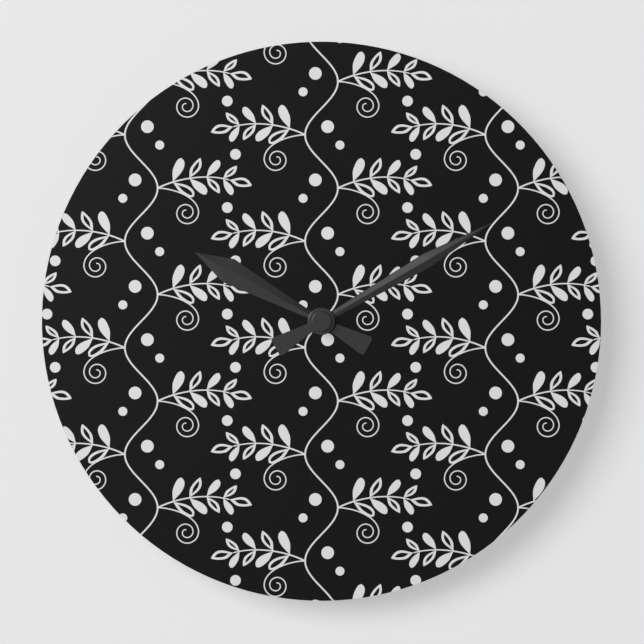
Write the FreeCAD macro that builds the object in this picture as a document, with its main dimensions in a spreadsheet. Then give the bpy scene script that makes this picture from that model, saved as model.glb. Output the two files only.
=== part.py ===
"""Round frameless wall clock: a printed acrylic disc on a battery quartz movement.

The wall is the XZ plane, +Z is up and the front of the clock faces -Y. The origin lies on the wall,
behind the axis of the hands. A "depth" is a distance in front of the wall, so a point at depth d has
y = -d. A "bearing" is an angle in degrees clockwise from 12 o'clock, seen from the front.
"""

import FreeCAD, Part
import os
import Sketcher

V = FreeCAD.Vector

doc = FreeCAD.newDocument("WallClock")

# ---------------------------------------------------------------- driving dimensions, in millimetres
SIZES = (
    # the printed disc
    ("dial_diameter", 273.05),
    ("dial_thickness", 5.0),
    ("dial_hole_gap", 0.25),
    ("dial_edge_break", 0.4),
    ("film_thickness", 0.15),
    # the AA cell that the case is sized around
    ("battery_diameter", 14.2),
    ("battery_length", 50.2),
    ("nub_diameter", 5.4),
    ("nub_length", 1.0),
    ("battery_sink", 0.5),
    ("battery_gap", 0.1),
    ("cell_gap", 0.55),
    ("contact_room", 1.1),
    ("contact_thickness", 0.3),
    ("contact_width", 6.0),
    ("contact_half_length", 5.0),
    ("contact_ramp", 3.4),
    ("contact_crown", 1.2),
    ("strip_width", 1.4),
    ("strip_gap", 0.4),
    # the moulded case
    ("case_wall", 1.8),
    ("case_corner", 4.0),
    ("front_floor", 1.5),
    ("bay_floor", 1.2),
    ("cover_thickness", 1.5),
    ("divider_thickness", 1.2),
    ("divider_gap", 0.4),
    ("train_clearance", 0.565),
    ("latch_height", 4.0),
    ("latch_width", 8.0),
    ("latch_length", 5.0),
    ("latch_thickness", 1.0),
    ("latch_hook", 0.5),
    ("pillar_radius", 1.5),
    ("stake_radius", 0.7),
    ("stake_show", 0.5),
    ("fit_gap", 0.05),
    ("loose_gap", 0.1),
    # the hanger and the gasket
    ("hanger_thickness", 0.8),
    ("hanger_width", 26.0),
    ("hanger_foot", 12.0),
    ("hanger_depth", 3.2),
    ("hanger_top", 47.0),
    ("hanger_gap", 0.2),
    ("hanger_corner", 6.5),
    ("keyhole_height", 37.0),
    ("keyhole_radius", 4.5),
    ("keyhole_slot", 4.4),
    ("gasket_thickness", 1.0),
    ("gasket_diameter", 24.0),
    # the threaded stem and what clamps the dial
    ("stem_radius", 3.85),
    ("stem_show", 0.85),
    ("flange_radius", 6.0),
    ("flange_thickness", 1.0),
    ("thread_pitch", 0.75),
    ("thread_depth", 0.35),
    ("thread_mouth", 0.6),
    ("thread_turns", 13),
    ("washer_radius", 5.8),
    ("washer_thickness", 0.5),
    ("nut_flats", 10.0),
    ("nut_height", 2.0),
    # the wheel train
    ("bridge_depth", 2.8),
    ("bridge_thickness", 1.0),
    ("wheel_thickness", 0.9),
    ("layer_gap", 0.7),
    ("pinion_overlap", 0.2),
    ("train_module", 0.3),
    ("motion_module", 0.4),
    ("rotor_pinion_teeth", 8),
    ("fifth_wheel_teeth", 40),
    ("fifth_pinion_teeth", 10),
    ("seconds_wheel_teeth", 60),
    ("fourth_pinion_teeth", 8),
    ("third_wheel_teeth", 60),
    ("third_pinion_teeth", 8),
    ("centre_wheel_teeth", 64),
    ("cannon_pinion_teeth", 10),
    ("minute_wheel_teeth", 30),
    ("minute_pinion_teeth", 8),
    ("hour_wheel_teeth", 32),
    ("knob_pinion_teeth", 12),
    ("third_bearing", 280.0),
    ("fifth_bearing", 53.0),
    ("rotor_bearing", 357.0),
    ("motion_bearing", 100.0),
    ("knob_bearing", 95.0),
    ("low_left_pillar_bearing", 219.0),
    ("high_left_pillar_bearing", 321.0),
    ("low_right_pillar_bearing", 138.0),
    ("high_right_pillar_bearing", 93.0),
    # tooth proportions, in modules
    ("wheel_addendum", 0.95),
    ("wheel_dedendum", 1.1),
    ("wheel_gap_mouth", 1.22),
    ("wheel_gap_root", 0.6),
    ("pinion_addendum", 0.7),
    ("pinion_dedendum", 1.3),
    ("pinion_gap_mouth", 1.4),
    ("pinion_gap_root", 0.6),
    # arbors, pivots and pipes
    ("arbor_radius", 0.6),
    ("pivot_radius", 0.4),
    ("pivot_end_gap", 0.3),
    ("pivot_length", 1.2),
    ("boss_radius", 1.5),
    ("shoulder_radius", 1.2),
    ("fifth_boss_radius", 0.9),
    ("seconds_arbor_radius", 0.75),
    ("minute_pipe_radius", 1.7),
    ("hour_pipe_wall", 0.8),
    ("hub_radius", 3.4),
    ("motion_post_radius", 0.6),
    # the setting knob
    ("knob_radius", 4.5),
    ("knob_thickness", 1.8),
    ("knob_sink", 0.5),
    ("knob_clearance", 0.35),
    ("knob_shaft_radius", 1.25),
    ("knob_flutes", 24),
    # the stepping motor and its board
    ("magnet_radius", 2.8),
    ("magnet_thickness", 3.0),
    ("stator_hole_radius", 3.4),
    ("stator_lobe_radius", 4.4),
    ("stator_thickness", 1.0),
    ("stator_bar_height", 5.6),
    ("stator_arm_width", 4.0),
    ("coil_length", 19.0),
    ("coil_flange_radius", 4.0),
    ("coil_flange_thickness", 0.8),
    ("coil_radius", 3.7),
    ("bobbin_wall", 0.6),
    ("board_width", 16.0),
    ("board_height", 11.0),
    ("board_thickness", 1.0),
    ("board_depth", 6.0),
    ("chip_diameter", 5.0),
    ("chip_height", 1.2),
    ("crystal_diameter", 2.0),
    ("crystal_length", 6.0),
    # the hands
    ("hand_gap", 0.65),
    ("hand_hub_radius", 6.6),
    ("hand_hub_height", 1.6),
    ("hand_edge", 0.5),
    ("hand_ridge", 1.45),
    ("hand_point", 0.3),
    ("hand_tail_start", 24.7),
    ("hand_tail_end", 25.9),
    ("hand_tail_width", 10.0),
    ("hand_tail_tip_width", 7.8),
    ("hand_tail_root_width", 2.8),
    ("hour_hand_bearing", -61.4),
    ("hour_hand_root_width", 2.4),
    ("hour_hand_shoulder", 51.7),
    ("hour_hand_width", 12.6),
    ("hour_hand_length", 70.0),
    ("minute_hand_bearing", 60.0),
    ("minute_hand_root_width", 3.1),
    ("minute_hand_shoulder", 59.6),
    ("minute_hand_width", 7.4),
    ("minute_hand_length", 95.2),
    ("cap_radius", 4.95),
    ("cap_height", 2.0),
    ("cap_recess", 0.4),
    ("cap_edge", 0.5),
)

sheet = doc.addObject("Spreadsheet::Sheet", "Params")
for row, (alias, value) in enumerate(SIZES, start=1):
    sheet.set("A%d" % row, alias)
    sheet.set("B%d" % row, str(value))
    sheet.setAlias("B%d" % row, alias)
doc.recompute()


def size(name):
    """Expression for a cell of the sheet."""
    return "Params." + name


def value_of(expression):
    """Number that an expression gives now."""
    result = sheet.evalExpression(expression)
    return float(getattr(result, "Value", result))


def wheel_tip(module, teeth):
    return f"({module} * ({size(teeth)} / 2 + {size('wheel_addendum')}))"


# ---------------------------------------------------------------- places worked out from the sizes
INNER_X = f"({size('battery_length')} / 2 + {size('contact_room')})"
CASE_X = f"({INNER_X} + {size('case_wall')})"
WHEEL_TIP = wheel_tip(size("train_module"), "third_wheel_teeth")
DIVIDER_Z = f"(-({WHEEL_TIP} + {size('train_clearance')} + {size('divider_thickness')} / 2))"
BATTERY_Z = (f"({DIVIDER_Z} - {size('divider_thickness')} / 2 - {size('divider_gap')}"
             f" - {size('battery_diameter')} / 2)")
INNER_Z = f"({size('battery_diameter')} / 2 + {size('cell_gap')} - {BATTERY_Z})"
CASE_Z = f"({INNER_Z} + {size('case_wall')})"
CASE_DEPTH = (f"({size('battery_sink')} + {size('battery_diameter')} + {size('battery_gap')}"
              f" + {size('bay_floor')})")
FLOOR = f"({CASE_DEPTH} - {size('front_floor')})"
COVER_FRONT = size("cover_thickness")
BATTERY_DEPTH = f"({size('battery_sink')} + {size('battery_diameter')} / 2)"

HANGER_FRONT = f"({CASE_DEPTH} + {size('hanger_thickness')})"
DIAL_BACK = f"({HANGER_FRONT} + {size('gasket_thickness')})"
DIAL_FRONT = f"({DIAL_BACK} + {size('dial_thickness')})"
FILM_FRONT = f"({DIAL_FRONT} + {size('film_thickness')})"
WASHER_FRONT = f"({FILM_FRONT} + {size('washer_thickness')})"
NUT_FRONT = f"({WASHER_FRONT} + {size('nut_height')})"
STEM_FRONT = f"({NUT_FRONT} + {size('stem_show')})"
HOUR_HAND_BACK = f"({STEM_FRONT} + {size('hand_gap')})"
HOUR_HAND_FRONT = f"({HOUR_HAND_BACK} + {size('hand_hub_height')})"
MINUTE_HAND_BACK = f"({HOUR_HAND_FRONT} + {size('hand_gap')})"
MINUTE_HAND_FRONT = f"({MINUTE_HAND_BACK} + {size('hand_hub_height')})"

# the wheels lie in layers, from the bridge plate forwards
LAYER_STEP = f"({size('wheel_thickness')} + {size('layer_gap')})"
BRIDGE_FRONT = f"({size('bridge_depth')} + {size('bridge_thickness')})"
FIFTH_LAYER = f"({BRIDGE_FRONT} + {size('layer_gap')})"
SECONDS_LAYER = f"({FIFTH_LAYER} + {LAYER_STEP})"
THIRD_LAYER = f"({SECONDS_LAYER} + {LAYER_STEP})"
CENTRE_LAYER = f"({THIRD_LAYER} + {LAYER_STEP})"
MOTION_LAYER = f"({CENTRE_LAYER} + {LAYER_STEP})"
HOUR_LAYER = f"({MOTION_LAYER} + {LAYER_STEP})"
STATOR_DEPTH = f"({THIRD_LAYER} + {size('layer_gap')})"
CORE_DEPTH = f"({STATOR_DEPTH} + {size('stator_thickness')})"
CORE_FRONT = f"({CORE_DEPTH} + {size('stator_thickness')})"
FRONT_PIVOTS = f"({CORE_FRONT} + {size('layer_gap')} - {size('pinion_overlap')})"

MINUTE_BORE = f"({size('seconds_arbor_radius')} + {size('fit_gap')})"
HOUR_BORE = f"({size('minute_pipe_radius')} + {size('fit_gap')})"
HOUR_PIPE = f"({HOUR_BORE} + {size('hour_pipe_wall')})"
STEM_BORE = f"({HOUR_PIPE} + {size('fit_gap')})"
PIVOT_BORE = f"({size('pivot_radius')} + {size('fit_gap')})"


def centre_distance(module, first_teeth, second_teeth):
    return f"({module} * ({size(first_teeth)} + {size(second_teeth)}) / 2)"


def polar_x(distance, bearing):
    return f"({distance} * sin({bearing}))"


def polar_z(distance, bearing):
    return f"({distance} * cos({bearing}))"


def meshed_turn(bearing, first_teeth, first_turn, second_teeth):
    """Turn of a wheel so that its teeth meet the gaps of the wheel before it, at rest.

    The bearing runs from the first wheel's centre to the second's. An unturned wheel has a gap at 12.
    """
    met = f"({bearing} - {first_turn}) * {size(first_teeth)} / 360"
    return f"({bearing} + 180 - 360 / {size(second_teeth)} * (0.5 - {met}))"


TRAIN_MODULE = size("train_module")
MOTION_MODULE = size("motion_module")
THIRD_DISTANCE = centre_distance(TRAIN_MODULE, "third_wheel_teeth", "fourth_pinion_teeth")
THIRD_X = polar_x(THIRD_DISTANCE, size("third_bearing"))
THIRD_Z = polar_z(THIRD_DISTANCE, size("third_bearing"))
CENTRE_MODULE = (f"(2 * {THIRD_DISTANCE}"
                 f" / ({size('centre_wheel_teeth')} + {size('third_pinion_teeth')}))")
FIFTH_DISTANCE = centre_distance(TRAIN_MODULE, "seconds_wheel_teeth", "fifth_pinion_teeth")
FIFTH_X = polar_x(FIFTH_DISTANCE, size("fifth_bearing"))
FIFTH_Z = polar_z(FIFTH_DISTANCE, size("fifth_bearing"))
ROTOR_DISTANCE = centre_distance(TRAIN_MODULE, "fifth_wheel_teeth", "rotor_pinion_teeth")
ROTOR_X = f"({FIFTH_X} + {polar_x(ROTOR_DISTANCE, size('rotor_bearing'))})"
ROTOR_Z = f"({FIFTH_Z} + {polar_z(ROTOR_DISTANCE, size('rotor_bearing'))})"
MOTION_DISTANCE = centre_distance(MOTION_MODULE, "cannon_pinion_teeth", "minute_wheel_teeth")
MOTION_X = polar_x(MOTION_DISTANCE, size("motion_bearing"))
MOTION_Z = polar_z(MOTION_DISTANCE, size("motion_bearing"))
KNOB_DISTANCE = centre_distance(MOTION_MODULE, "minute_wheel_teeth", "knob_pinion_teeth")
KNOB_X = f"({MOTION_X} + {polar_x(KNOB_DISTANCE, size('knob_bearing'))})"
KNOB_Z = f"({MOTION_Z} + {polar_z(KNOB_DISTANCE, size('knob_bearing'))})"

MOTION_TURN = meshed_turn(size("motion_bearing"), "cannon_pinion_teeth", "0", "minute_wheel_teeth")
HOUR_TURN = meshed_turn(f"({size('motion_bearing')} + 180)", "minute_pinion_teeth", MOTION_TURN,
                        "hour_wheel_teeth")
KNOB_TURN = meshed_turn(size("knob_bearing"), "minute_wheel_teeth", MOTION_TURN, "knob_pinion_teeth")
THIRD_TURN = meshed_turn(size("third_bearing"), "centre_wheel_teeth", "0", "third_pinion_teeth")
SECONDS_TURN = meshed_turn(f"({size('third_bearing')} + 180)", "third_wheel_teeth", THIRD_TURN,
                           "fourth_pinion_teeth")
FIFTH_TURN = meshed_turn(size("fifth_bearing"), "seconds_wheel_teeth", SECONDS_TURN,
                         "fifth_pinion_teeth")
ROTOR_TURN = meshed_turn(size("rotor_bearing"), "fifth_wheel_teeth", FIFTH_TURN,
                         "rotor_pinion_teeth")

COIL_Z = f"({INNER_Z} - {size('hanger_gap')} - {size('coil_flange_radius')})"
COIL_END = f"({size('coil_length')} / 2)"
ARM_OFFSET = f"({COIL_END} + {size('fit_gap')} + {size('stator_arm_width')} / 2)"
BOARD_X = (f"(-({INNER_X} - {size('contact_thickness')} - {size('loose_gap')}"
           f" - {size('board_width')} / 2))")
BOARD_Z = f"({INNER_Z} - {size('loose_gap')} - {size('board_height')} / 2)"
BOARD_FRONT = f"({size('board_depth')} + {size('board_thickness')})"
BOARD_POST_OFFSET = f"({size('board_width')} / 2 - 2 * {size('stake_radius')})"


def pillar_beside(wheel_x, wheel_z, tip, bearing):
    """Place of a bridge pillar that stands just clear of a wheel."""
    reach = f"({tip} + {size('pillar_radius')} + {size('layer_gap')})"
    return (f"({wheel_x} + {polar_x(reach, size(bearing))})",
            f"({wheel_z} + {polar_z(reach, size(bearing))})")


MINUTE_WHEEL_TIP = wheel_tip(MOTION_MODULE, "minute_wheel_teeth")
FIFTH_WHEEL_TIP = wheel_tip(TRAIN_MODULE, "fifth_wheel_teeth")
PILLARS = (
    pillar_beside(THIRD_X, THIRD_Z, WHEEL_TIP, "low_left_pillar_bearing"),
    pillar_beside(THIRD_X, THIRD_Z, WHEEL_TIP, "high_left_pillar_bearing"),
    pillar_beside(MOTION_X, MOTION_Z, MINUTE_WHEEL_TIP, "low_right_pillar_bearing"),
    pillar_beside(FIFTH_X, FIFTH_Z, FIFTH_WHEEL_TIP, "high_right_pillar_bearing"),
)


# ---------------------------------------------------------------- modelling helpers
bodies = []


def new_body(label, x="0", z="0", turn="0"):
    """Body whose own Y axis stands at (x, z) on the wall, turned clockwise by an angle."""
    body = doc.addObject("PartDesign::Body", label)
    body.Label = label
    body.Placement = FreeCAD.Placement(V(0, 0, 0), FreeCAD.Rotation(V(0, 1, 0), 0))
    for path, expression in (("Base.x", x), ("Base.z", z), ("Rotation.Angle", turn),
                             ("Rotation.Axis.x", "0"), ("Rotation.Axis.y", "1"),
                             ("Rotation.Axis.z", "0")):
        body.setExpression(".Placement." + path, expression)
    bodies.append(body)
    return body


def origin_feature(body, role):
    for feature in body.Origin.OriginFeatures:
        if feature.Role == role:
            return feature


def new_sketch(body, name, right, up, out, role="XZ_Plane"):
    """Sketch on one of the body's planes. On XZ_Plane its x is X, its y is Z and out is the depth."""
    sketch = body.newObject("Sketcher::SketchObject", name)
    sketch.AttachmentSupport = [(origin_feature(body, role), "")]
    sketch.MapMode = "FlatFace"
    for axis, expression in (("x", right), ("y", up), ("z", out)):
        sketch.setExpression(".AttachmentOffset.Base." + axis, expression)
    return sketch


def constrain(sketch, expression, *constraint):
    """Add a dimension to a sketch and bind it to an expression."""
    index = sketch.addConstraint(Sketcher.Constraint(*constraint, value_of(expression)))
    sketch.setExpression("Constraints[%d]" % index, expression)


def draw_circle(sketch, radius):
    circle = sketch.addGeometry(Part.Circle(V(0, 0, 0), V(0, 0, 1), value_of(radius)), False)
    sketch.addConstraint(Sketcher.Constraint("Coincident", circle, 3, -1, 1))
    constrain(sketch, radius, "Radius", circle)


def draw_outline(sketch, points):
    """Closed outline of straight lines through points given as pairs of expressions."""
    numbers = [V(value_of(right), value_of(up), 0) for right, up in points]
    count = len(points)
    lines = [sketch.addGeometry(Part.LineSegment(numbers[i], numbers[(i + 1) % count]), False)
             for i in range(count)]
    for i in range(count):
        sketch.addConstraint(Sketcher.Constraint("Coincident", lines[i], 2, lines[(i + 1) % count], 1))
    for line, (right, up) in zip(lines, points):
        constrain(sketch, right, "DistanceX", -1, 1, line, 1)
        constrain(sketch, up, "DistanceY", -1, 1, line, 1)


def draw_box(sketch, width, height):
    """Rectangle centred on the sketch's own origin."""
    right = f"({width} / 2)"
    up = f"({height} / 2)"
    draw_outline(sketch, (("-" + right, "-" + up), (right, "-" + up), (right, up), ("-" + right, up)))


def pad(body, sketch, length):
    feature = body.newObject("PartDesign::Pad", sketch.Name + "_pad")
    feature.Profile = sketch
    feature.setExpression("Length", length)
    doc.recompute()
    return feature


def pocket(body, sketch, length=None):
    """Cut backwards from the sketch, or right through where no length is given."""
    before = body.Shape.Volume
    feature = body.newObject("PartDesign::Pocket", sketch.Name + "_cut")
    feature.Profile = sketch
    if length is None:
        feature.Type = "ThroughAll"
        feature.Midplane = True
    else:
        feature.setExpression("Length", length)
    doc.recompute()
    if not feature.Shape.Volume < before:
        raise RuntimeError(f"{body.Label}: {feature.Name} cuts nothing")
    return feature


def pad_disc(body, name, radius, back, front, x="0", z="0"):
    sketch = new_sketch(body, name, x, z, back)
    draw_circle(sketch, radius)
    return pad(body, sketch, f"({front} - {back})")


def pad_box(body, name, width, height, back, front, x="0", z="0"):
    sketch = new_sketch(body, name, x, z, back)
    draw_box(sketch, width, height)
    return pad(body, sketch, f"({front} - {back})")


def cut_disc(body, name, radius, back=None, front="0", x="0", z="0"):
    """Round hole, from the front depth to the back depth or right through the piece."""
    sketch = new_sketch(body, name, x, z, front)
    draw_circle(sketch, radius)
    return pocket(body, sketch, None if back is None else f"({front} - {back})")


def cut_box(body, name, width, height, back=None, front="0", x="0", z="0"):
    sketch = new_sketch(body, name, x, z, front)
    draw_box(sketch, width, height)
    return pocket(body, sketch, None if back is None else f"({front} - {back})")


def round_edges(feature_type, body, expression, picks):
    """Fillet or chamfer on the edges of the body's last feature that a test picks."""
    base = body.Tip
    names = ["Edge%d" % (i + 1) for i, edge in enumerate(base.Shape.Edges) if picks(edge)]
    if not names:
        raise RuntimeError(f"{body.Label}: no edge to round")
    feature = body.newObject(feature_type, body.Label + "_edges_%d" % len(body.Group))
    feature.Base = (base, names)
    if feature_type == "PartDesign::Fillet":
        feature.setExpression("Radius", expression)
    else:
        feature.setExpression("Size", expression)
    doc.recompute()
    return feature


def on_rim(radius, depth):
    """Test for a circular edge about the body's own axis."""
    wanted_radius = value_of(radius)
    wanted_depth = value_of(depth)

    def picks(edge):
        if not isinstance(edge.Curve, Part.Circle):
            return False
        return (abs(edge.Curve.Radius - wanted_radius) < 1e-4
                and abs(edge.Curve.Center.y + wanted_depth) < 1e-4)

    return picks


def standing_corner(half_width, half_height):
    """Test for an edge that runs front to back at a corner of a rectangle."""
    wanted_x = value_of(half_width)
    wanted_z = value_of(half_height)

    def picks(edge):
        first = edge.Vertexes[0].Point
        last = edge.Vertexes[-1].Point
        straight = abs(first.x - last.x) < 1e-6 and abs(first.z - last.z) < 1e-6
        return straight and abs(abs(first.x) - wanted_x) < 1e-4 and abs(abs(first.z) - wanted_z) < 1e-4

    return picks


def add_teeth(body, name, kind, module, teeth, back, front):
    """Toothed disc: a blank, one straight-sided gap at 12 o'clock and a polar pattern of it."""
    count = size(teeth)
    tip = f"({module} * ({count} / 2 + {size(kind + '_addendum')}))"
    root = f"({module} * ({count} / 2 - {size(kind + '_dedendum')}))"
    mouth = f"({module} * {size(kind + '_gap_mouth')})"
    foot = f"({module} * {size(kind + '_gap_root')})"
    # the flanks run on past the tip circle, so that the gap is open
    beyond = f"({tip} + {module})"
    spread = f"({mouth} + ({mouth} - {foot}) * {module} / ({tip} - {root}))"
    pad_disc(body, name + "_blank", tip, back, front)
    sketch = new_sketch(body, name + "_gap", "0", "0", front)
    draw_outline(sketch, (("-" + foot, root), (foot, root), (spread, beyond), ("-" + spread, beyond)))
    gap = pocket(body, sketch, f"({front} - {back})")
    ring = body.newObject("PartDesign::PolarPattern", name + "_teeth")
    ring.Originals = [gap]
    ring.Axis = (origin_feature(body, "Y_Axis"), [""])
    ring.Angle = 360
    ring.setExpression("Occurrences", count)
    body.Tip = ring
    doc.recompute()


def add_wheel(body, name, module, teeth, layer):
    add_teeth(body, name, "wheel", module, teeth, layer, f"({layer} + {size('wheel_thickness')})")


def add_pinion(body, name, module, teeth, layer):
    """Pinion a little longer than the wheel that it drives or is driven by."""
    over = size("pinion_overlap")
    add_teeth(body, name, "pinion", module, teeth, f"({layer} - {over})",
              f"({layer} + {size('wheel_thickness')} + {over})")


def shift(depth, distance):
    """Depth moved forwards by a distance, or backwards where it is negative."""
    return f"({depth} + {distance})"


# ---------------------------------------------------------------- dial
def make_dial():
    radius = f"({size('dial_diameter')} / 2)"
    hole = f"({size('stem_radius')} + {size('dial_hole_gap')})"
    # the clear acrylic disc, with polished edges
    dial = new_body("dial_disc")
    pad_disc(dial, "disc", radius, DIAL_BACK, DIAL_FRONT)
    cut_disc(dial, "disc_hole", hole)
    round_edges("PartDesign::Chamfer", dial, size("dial_edge_break"), on_rim(radius, DIAL_BACK))
    # the ink layers printed on its front
    film = new_body("printed_face")
    pad_disc(film, "film", radius, DIAL_FRONT, FILM_FRONT)
    cut_disc(film, "film_hole", hole)


# ---------------------------------------------------------------- case and cover
def staked_post(body, name, x, z, shoulder, plate_back):
    """Post from the case floor with a shoulder, and a thin stake through the plate that it carries."""
    tip = f"({plate_back} - {size('stake_show')})"
    pad_disc(body, name + "_post", size("pillar_radius"), shoulder, FLOOR, x, z)
    pad_disc(body, name + "_stake", size("stake_radius"), tip, shoulder, x, z)


def pivot_boss(body, name, x, z, radius, back, bore, bore_front):
    """Boss on the case floor with a blind bearing bore."""
    pad_disc(body, name, radius, back, FLOOR, x, z)
    cut_disc(body, name + "_bore", bore, back, bore_front, x, z)


def board_posts():
    """Places of the two posts that hold the circuit board."""
    return ((f"({BOARD_X} - {BOARD_POST_OFFSET})", BOARD_Z),
            (f"({BOARD_X} + {BOARD_POST_OFFSET})", BOARD_Z))


def core_posts():
    """Places of the two posts that hold the ends of the coil core."""
    return ((f"({ROTOR_X} - {ARM_OFFSET})", COIL_Z), (f"({ROTOR_X} + {ARM_OFFSET})", COIL_Z))


def latch_places():
    """Middle x of the cover's two latch tongues, just inside the side walls, and the outward side."""
    middle = f"({INNER_X} - {size('fit_gap')} - {size('latch_thickness')} / 2)"
    return (("right", middle, "1"), ("left", "-" + middle, "-1"))


def make_front_case():
    case = new_body("front_case")
    pad_box(case, "shell", f"(2 * {CASE_X})", f"(2 * {CASE_Z})", COVER_FRONT, CASE_DEPTH)
    round_edges("PartDesign::Fillet", case, size("case_corner"), standing_corner(CASE_X, CASE_Z))
    inner_width = f"(2 * {INNER_X})"
    cut_box(case, "cavity", inner_width, f"(2 * {INNER_Z})", COVER_FRONT, FLOOR)
    # battery bay: a thinner floor, and a wall between the bay and the train
    bay_front = f"({CASE_DEPTH} - {size('bay_floor')})"
    cut_box(case, "bay_sink", inner_width, f"({INNER_Z} + {DIVIDER_Z})", FLOOR, bay_front,
            z=f"(({DIVIDER_Z} - {INNER_Z}) / 2)")
    divider_length = f"({inner_width} - 2 * {size('strip_gap')})"
    pad_box(case, "divider", divider_length, size("divider_thickness"), COVER_FRONT, bay_front,
            z=DIVIDER_Z)
    # hole and counterbore for the threaded stem's flange
    cut_disc(case, "stem_hole", f"({size('stem_radius')} + {size('fit_gap')})")
    cut_disc(case, "stem_counterbore", f"({size('flange_radius')} + {size('fit_gap')})",
             FLOOR, shift(FLOOR, size("flange_thickness")))
    # posts for the bridge plate, the board and the coil core
    for number, (x, z) in enumerate(PILLARS, start=1):
        staked_post(case, f"pillar_{number}", x, z, BRIDGE_FRONT, size("bridge_depth"))
    for number, (x, z) in enumerate(board_posts(), start=1):
        staked_post(case, f"board_{number}", x, z, BOARD_FRONT, size("board_depth"))
    for number, (x, z) in enumerate(core_posts(), start=1):
        staked_post(case, f"core_{number}", x, z, CORE_FRONT, STATOR_DEPTH)
    # front bearings
    bore_depth = f"({size('pivot_length')} + {size('pivot_end_gap')})"
    for name, x, z, radius, back in (
            ("third_boss", THIRD_X, THIRD_Z, size("boss_radius"), FRONT_PIVOTS),
            ("rotor_boss", ROTOR_X, ROTOR_Z, size("boss_radius"), FRONT_PIVOTS),
            ("fifth_boss", FIFTH_X, FIFTH_Z, size("fifth_boss_radius"), THIRD_LAYER)):
        pivot_boss(case, name, x, z, radius, back, PIVOT_BORE, shift(back, bore_depth))
    pivot_boss(case, "knob_boss", KNOB_X, KNOB_Z, size("boss_radius"), HOUR_LAYER,
               f"({size('arbor_radius')} + {size('fit_gap')})", FLOOR)
    # fixed post that the minute wheel turns on, with a shoulder in front of it
    pad_disc(case, "motion_shoulder", size("shoulder_radius"),
             f"({FLOOR} - {size('layer_gap')})", FLOOR, MOTION_X, MOTION_Z)
    pad_disc(case, "motion_post", size("motion_post_radius"),
             f"({MOTION_LAYER} - {size('pinion_overlap')})", FLOOR, MOTION_X, MOTION_Z)
    # windows in the side walls that the cover's latches snap into
    hook_back = (f"({COVER_FRONT} + {size('latch_length')} - 2 * {size('latch_hook')}"
                 f" - {size('loose_gap')})")
    hook_front = f"({COVER_FRONT} + {size('latch_length')} + {size('loose_gap')})"
    window_width = f"({size('latch_width')} + 2 * {size('loose_gap')})"
    for side, sign in (("right", ""), ("left", "-")):
        cut_box(case, f"{side}_window", f"(2 * ({size('latch_hook')} + {size('loose_gap')}))",
                window_width, hook_back, hook_front, x=sign + INNER_X, z=size("latch_height"))


def make_rear_cover():
    cover = new_body("rear_cover")
    pad_box(cover, "plate", f"(2 * {CASE_X})", f"(2 * {CASE_Z})", "0", COVER_FRONT)
    round_edges("PartDesign::Fillet", cover, size("case_corner"), standing_corner(CASE_X, CASE_Z))
    # the opening that the cell goes in through
    top = f"({DIVIDER_Z} - {size('divider_thickness')} / 2)"
    bottom = f"({size('loose_gap')} - {INNER_Z})"
    cut_box(cover, "battery_opening", f"(2 * ({INNER_X} - {size('loose_gap')}))", f"({top} - {bottom})",
            z=f"(({top} + {bottom}) / 2)")
    cut_disc(cover, "knob_hole", f"({size('knob_radius')} + {size('knob_clearance')})",
             x=KNOB_X, z=KNOB_Z)
    # latch tongues with outward hooks
    for side, middle, sign in latch_places():
        tip = shift(COVER_FRONT, size("latch_length"))
        pad_box(cover, f"{side}_tongue", size("latch_thickness"), size("latch_width"), COVER_FRONT, tip,
                x=middle, z=size("latch_height"))
        pad_box(cover, f"{side}_hook", f"({size('latch_thickness')} + {size('latch_hook')})",
                size("latch_width"), f"({tip} - 2 * {size('latch_hook')})", tip,
                x=f"({middle} + {sign} * {size('latch_hook')} / 2)", z=size("latch_height"))


# ---------------------------------------------------------------- battery and contacts
def make_battery():
    """AA cell lying along X, its positive nub to the left."""
    battery = new_body("battery_cell")
    can_length = f"({size('battery_length')} - {size('nub_length')})"
    can = new_sketch(battery, "can", f"-{BATTERY_DEPTH}", BATTERY_Z,
                     f"({size('nub_length')} - {size('battery_length')} / 2)", "YZ_Plane")
    draw_circle(can, f"({size('battery_diameter')} / 2)")
    pad(battery, can, can_length)
    nub = new_sketch(battery, "nub", f"-{BATTERY_DEPTH}", BATTERY_Z,
                     f"(-{size('battery_length')} / 2)", "YZ_Plane")
    draw_circle(nub, f"({size('nub_diameter')} / 2)")
    pad(battery, nub, size("nub_length"))


def make_contact(label, side):
    """Pressed leaf against an end wall: flat feet on the wall and a bow that meets the cell's end."""
    contact = new_body(label)
    thickness = size("contact_thickness")
    half_length = size("contact_half_length")
    ramp = size("contact_ramp")
    crown = size("contact_crown")
    middle = f"(-{BATTERY_DEPTH})"
    wall = f"({side} * {INNER_X})"
    face = f"({side} * ({INNER_X} - {thickness}))"
    bow_face = f"({side} * ({size('battery_length')} / 2 + {size('fit_gap')}))"
    bow_back = f"({side} * ({size('battery_length')} / 2 + {size('fit_gap')} + {thickness}))"
    outline = (
        (wall, f"({middle} + {half_length})"),
        (wall, f"({middle} + {ramp})"),
        (bow_back, f"({middle} + {crown})"),
        (bow_back, f"({middle} - {crown})"),
        (wall, f"({middle} - {ramp})"),
        (wall, f"({middle} - {half_length})"),
        (face, f"({middle} - {half_length})"),
        (face, f"({middle} - {ramp} - {thickness})"),
        (bow_face, f"({middle} - {crown} - {thickness})"),
        (bow_face, f"({middle} + {crown} + {thickness})"),
        (face, f"({middle} + {ramp} + {thickness})"),
        (face, f"({middle} + {half_length})"),
    )
    leaf = new_sketch(contact, "leaf", "0", "0",
                      f"({BATTERY_Z} - {size('contact_width')} / 2)", "XY_Plane")
    draw_outline(leaf, outline)
    pad(contact, leaf, size("contact_width"))
    return contact


def wall_strip(contact, name, side, low, high, back, front):
    """Flat strip on a side wall between two heights."""
    x = f"({side} * ({INNER_X} - {size('contact_thickness')} / 2))"
    pad_box(contact, name, size("contact_thickness"), f"({high} - {low})", back, front,
            x=x, z=f"(({low} + {high}) / 2)")


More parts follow.
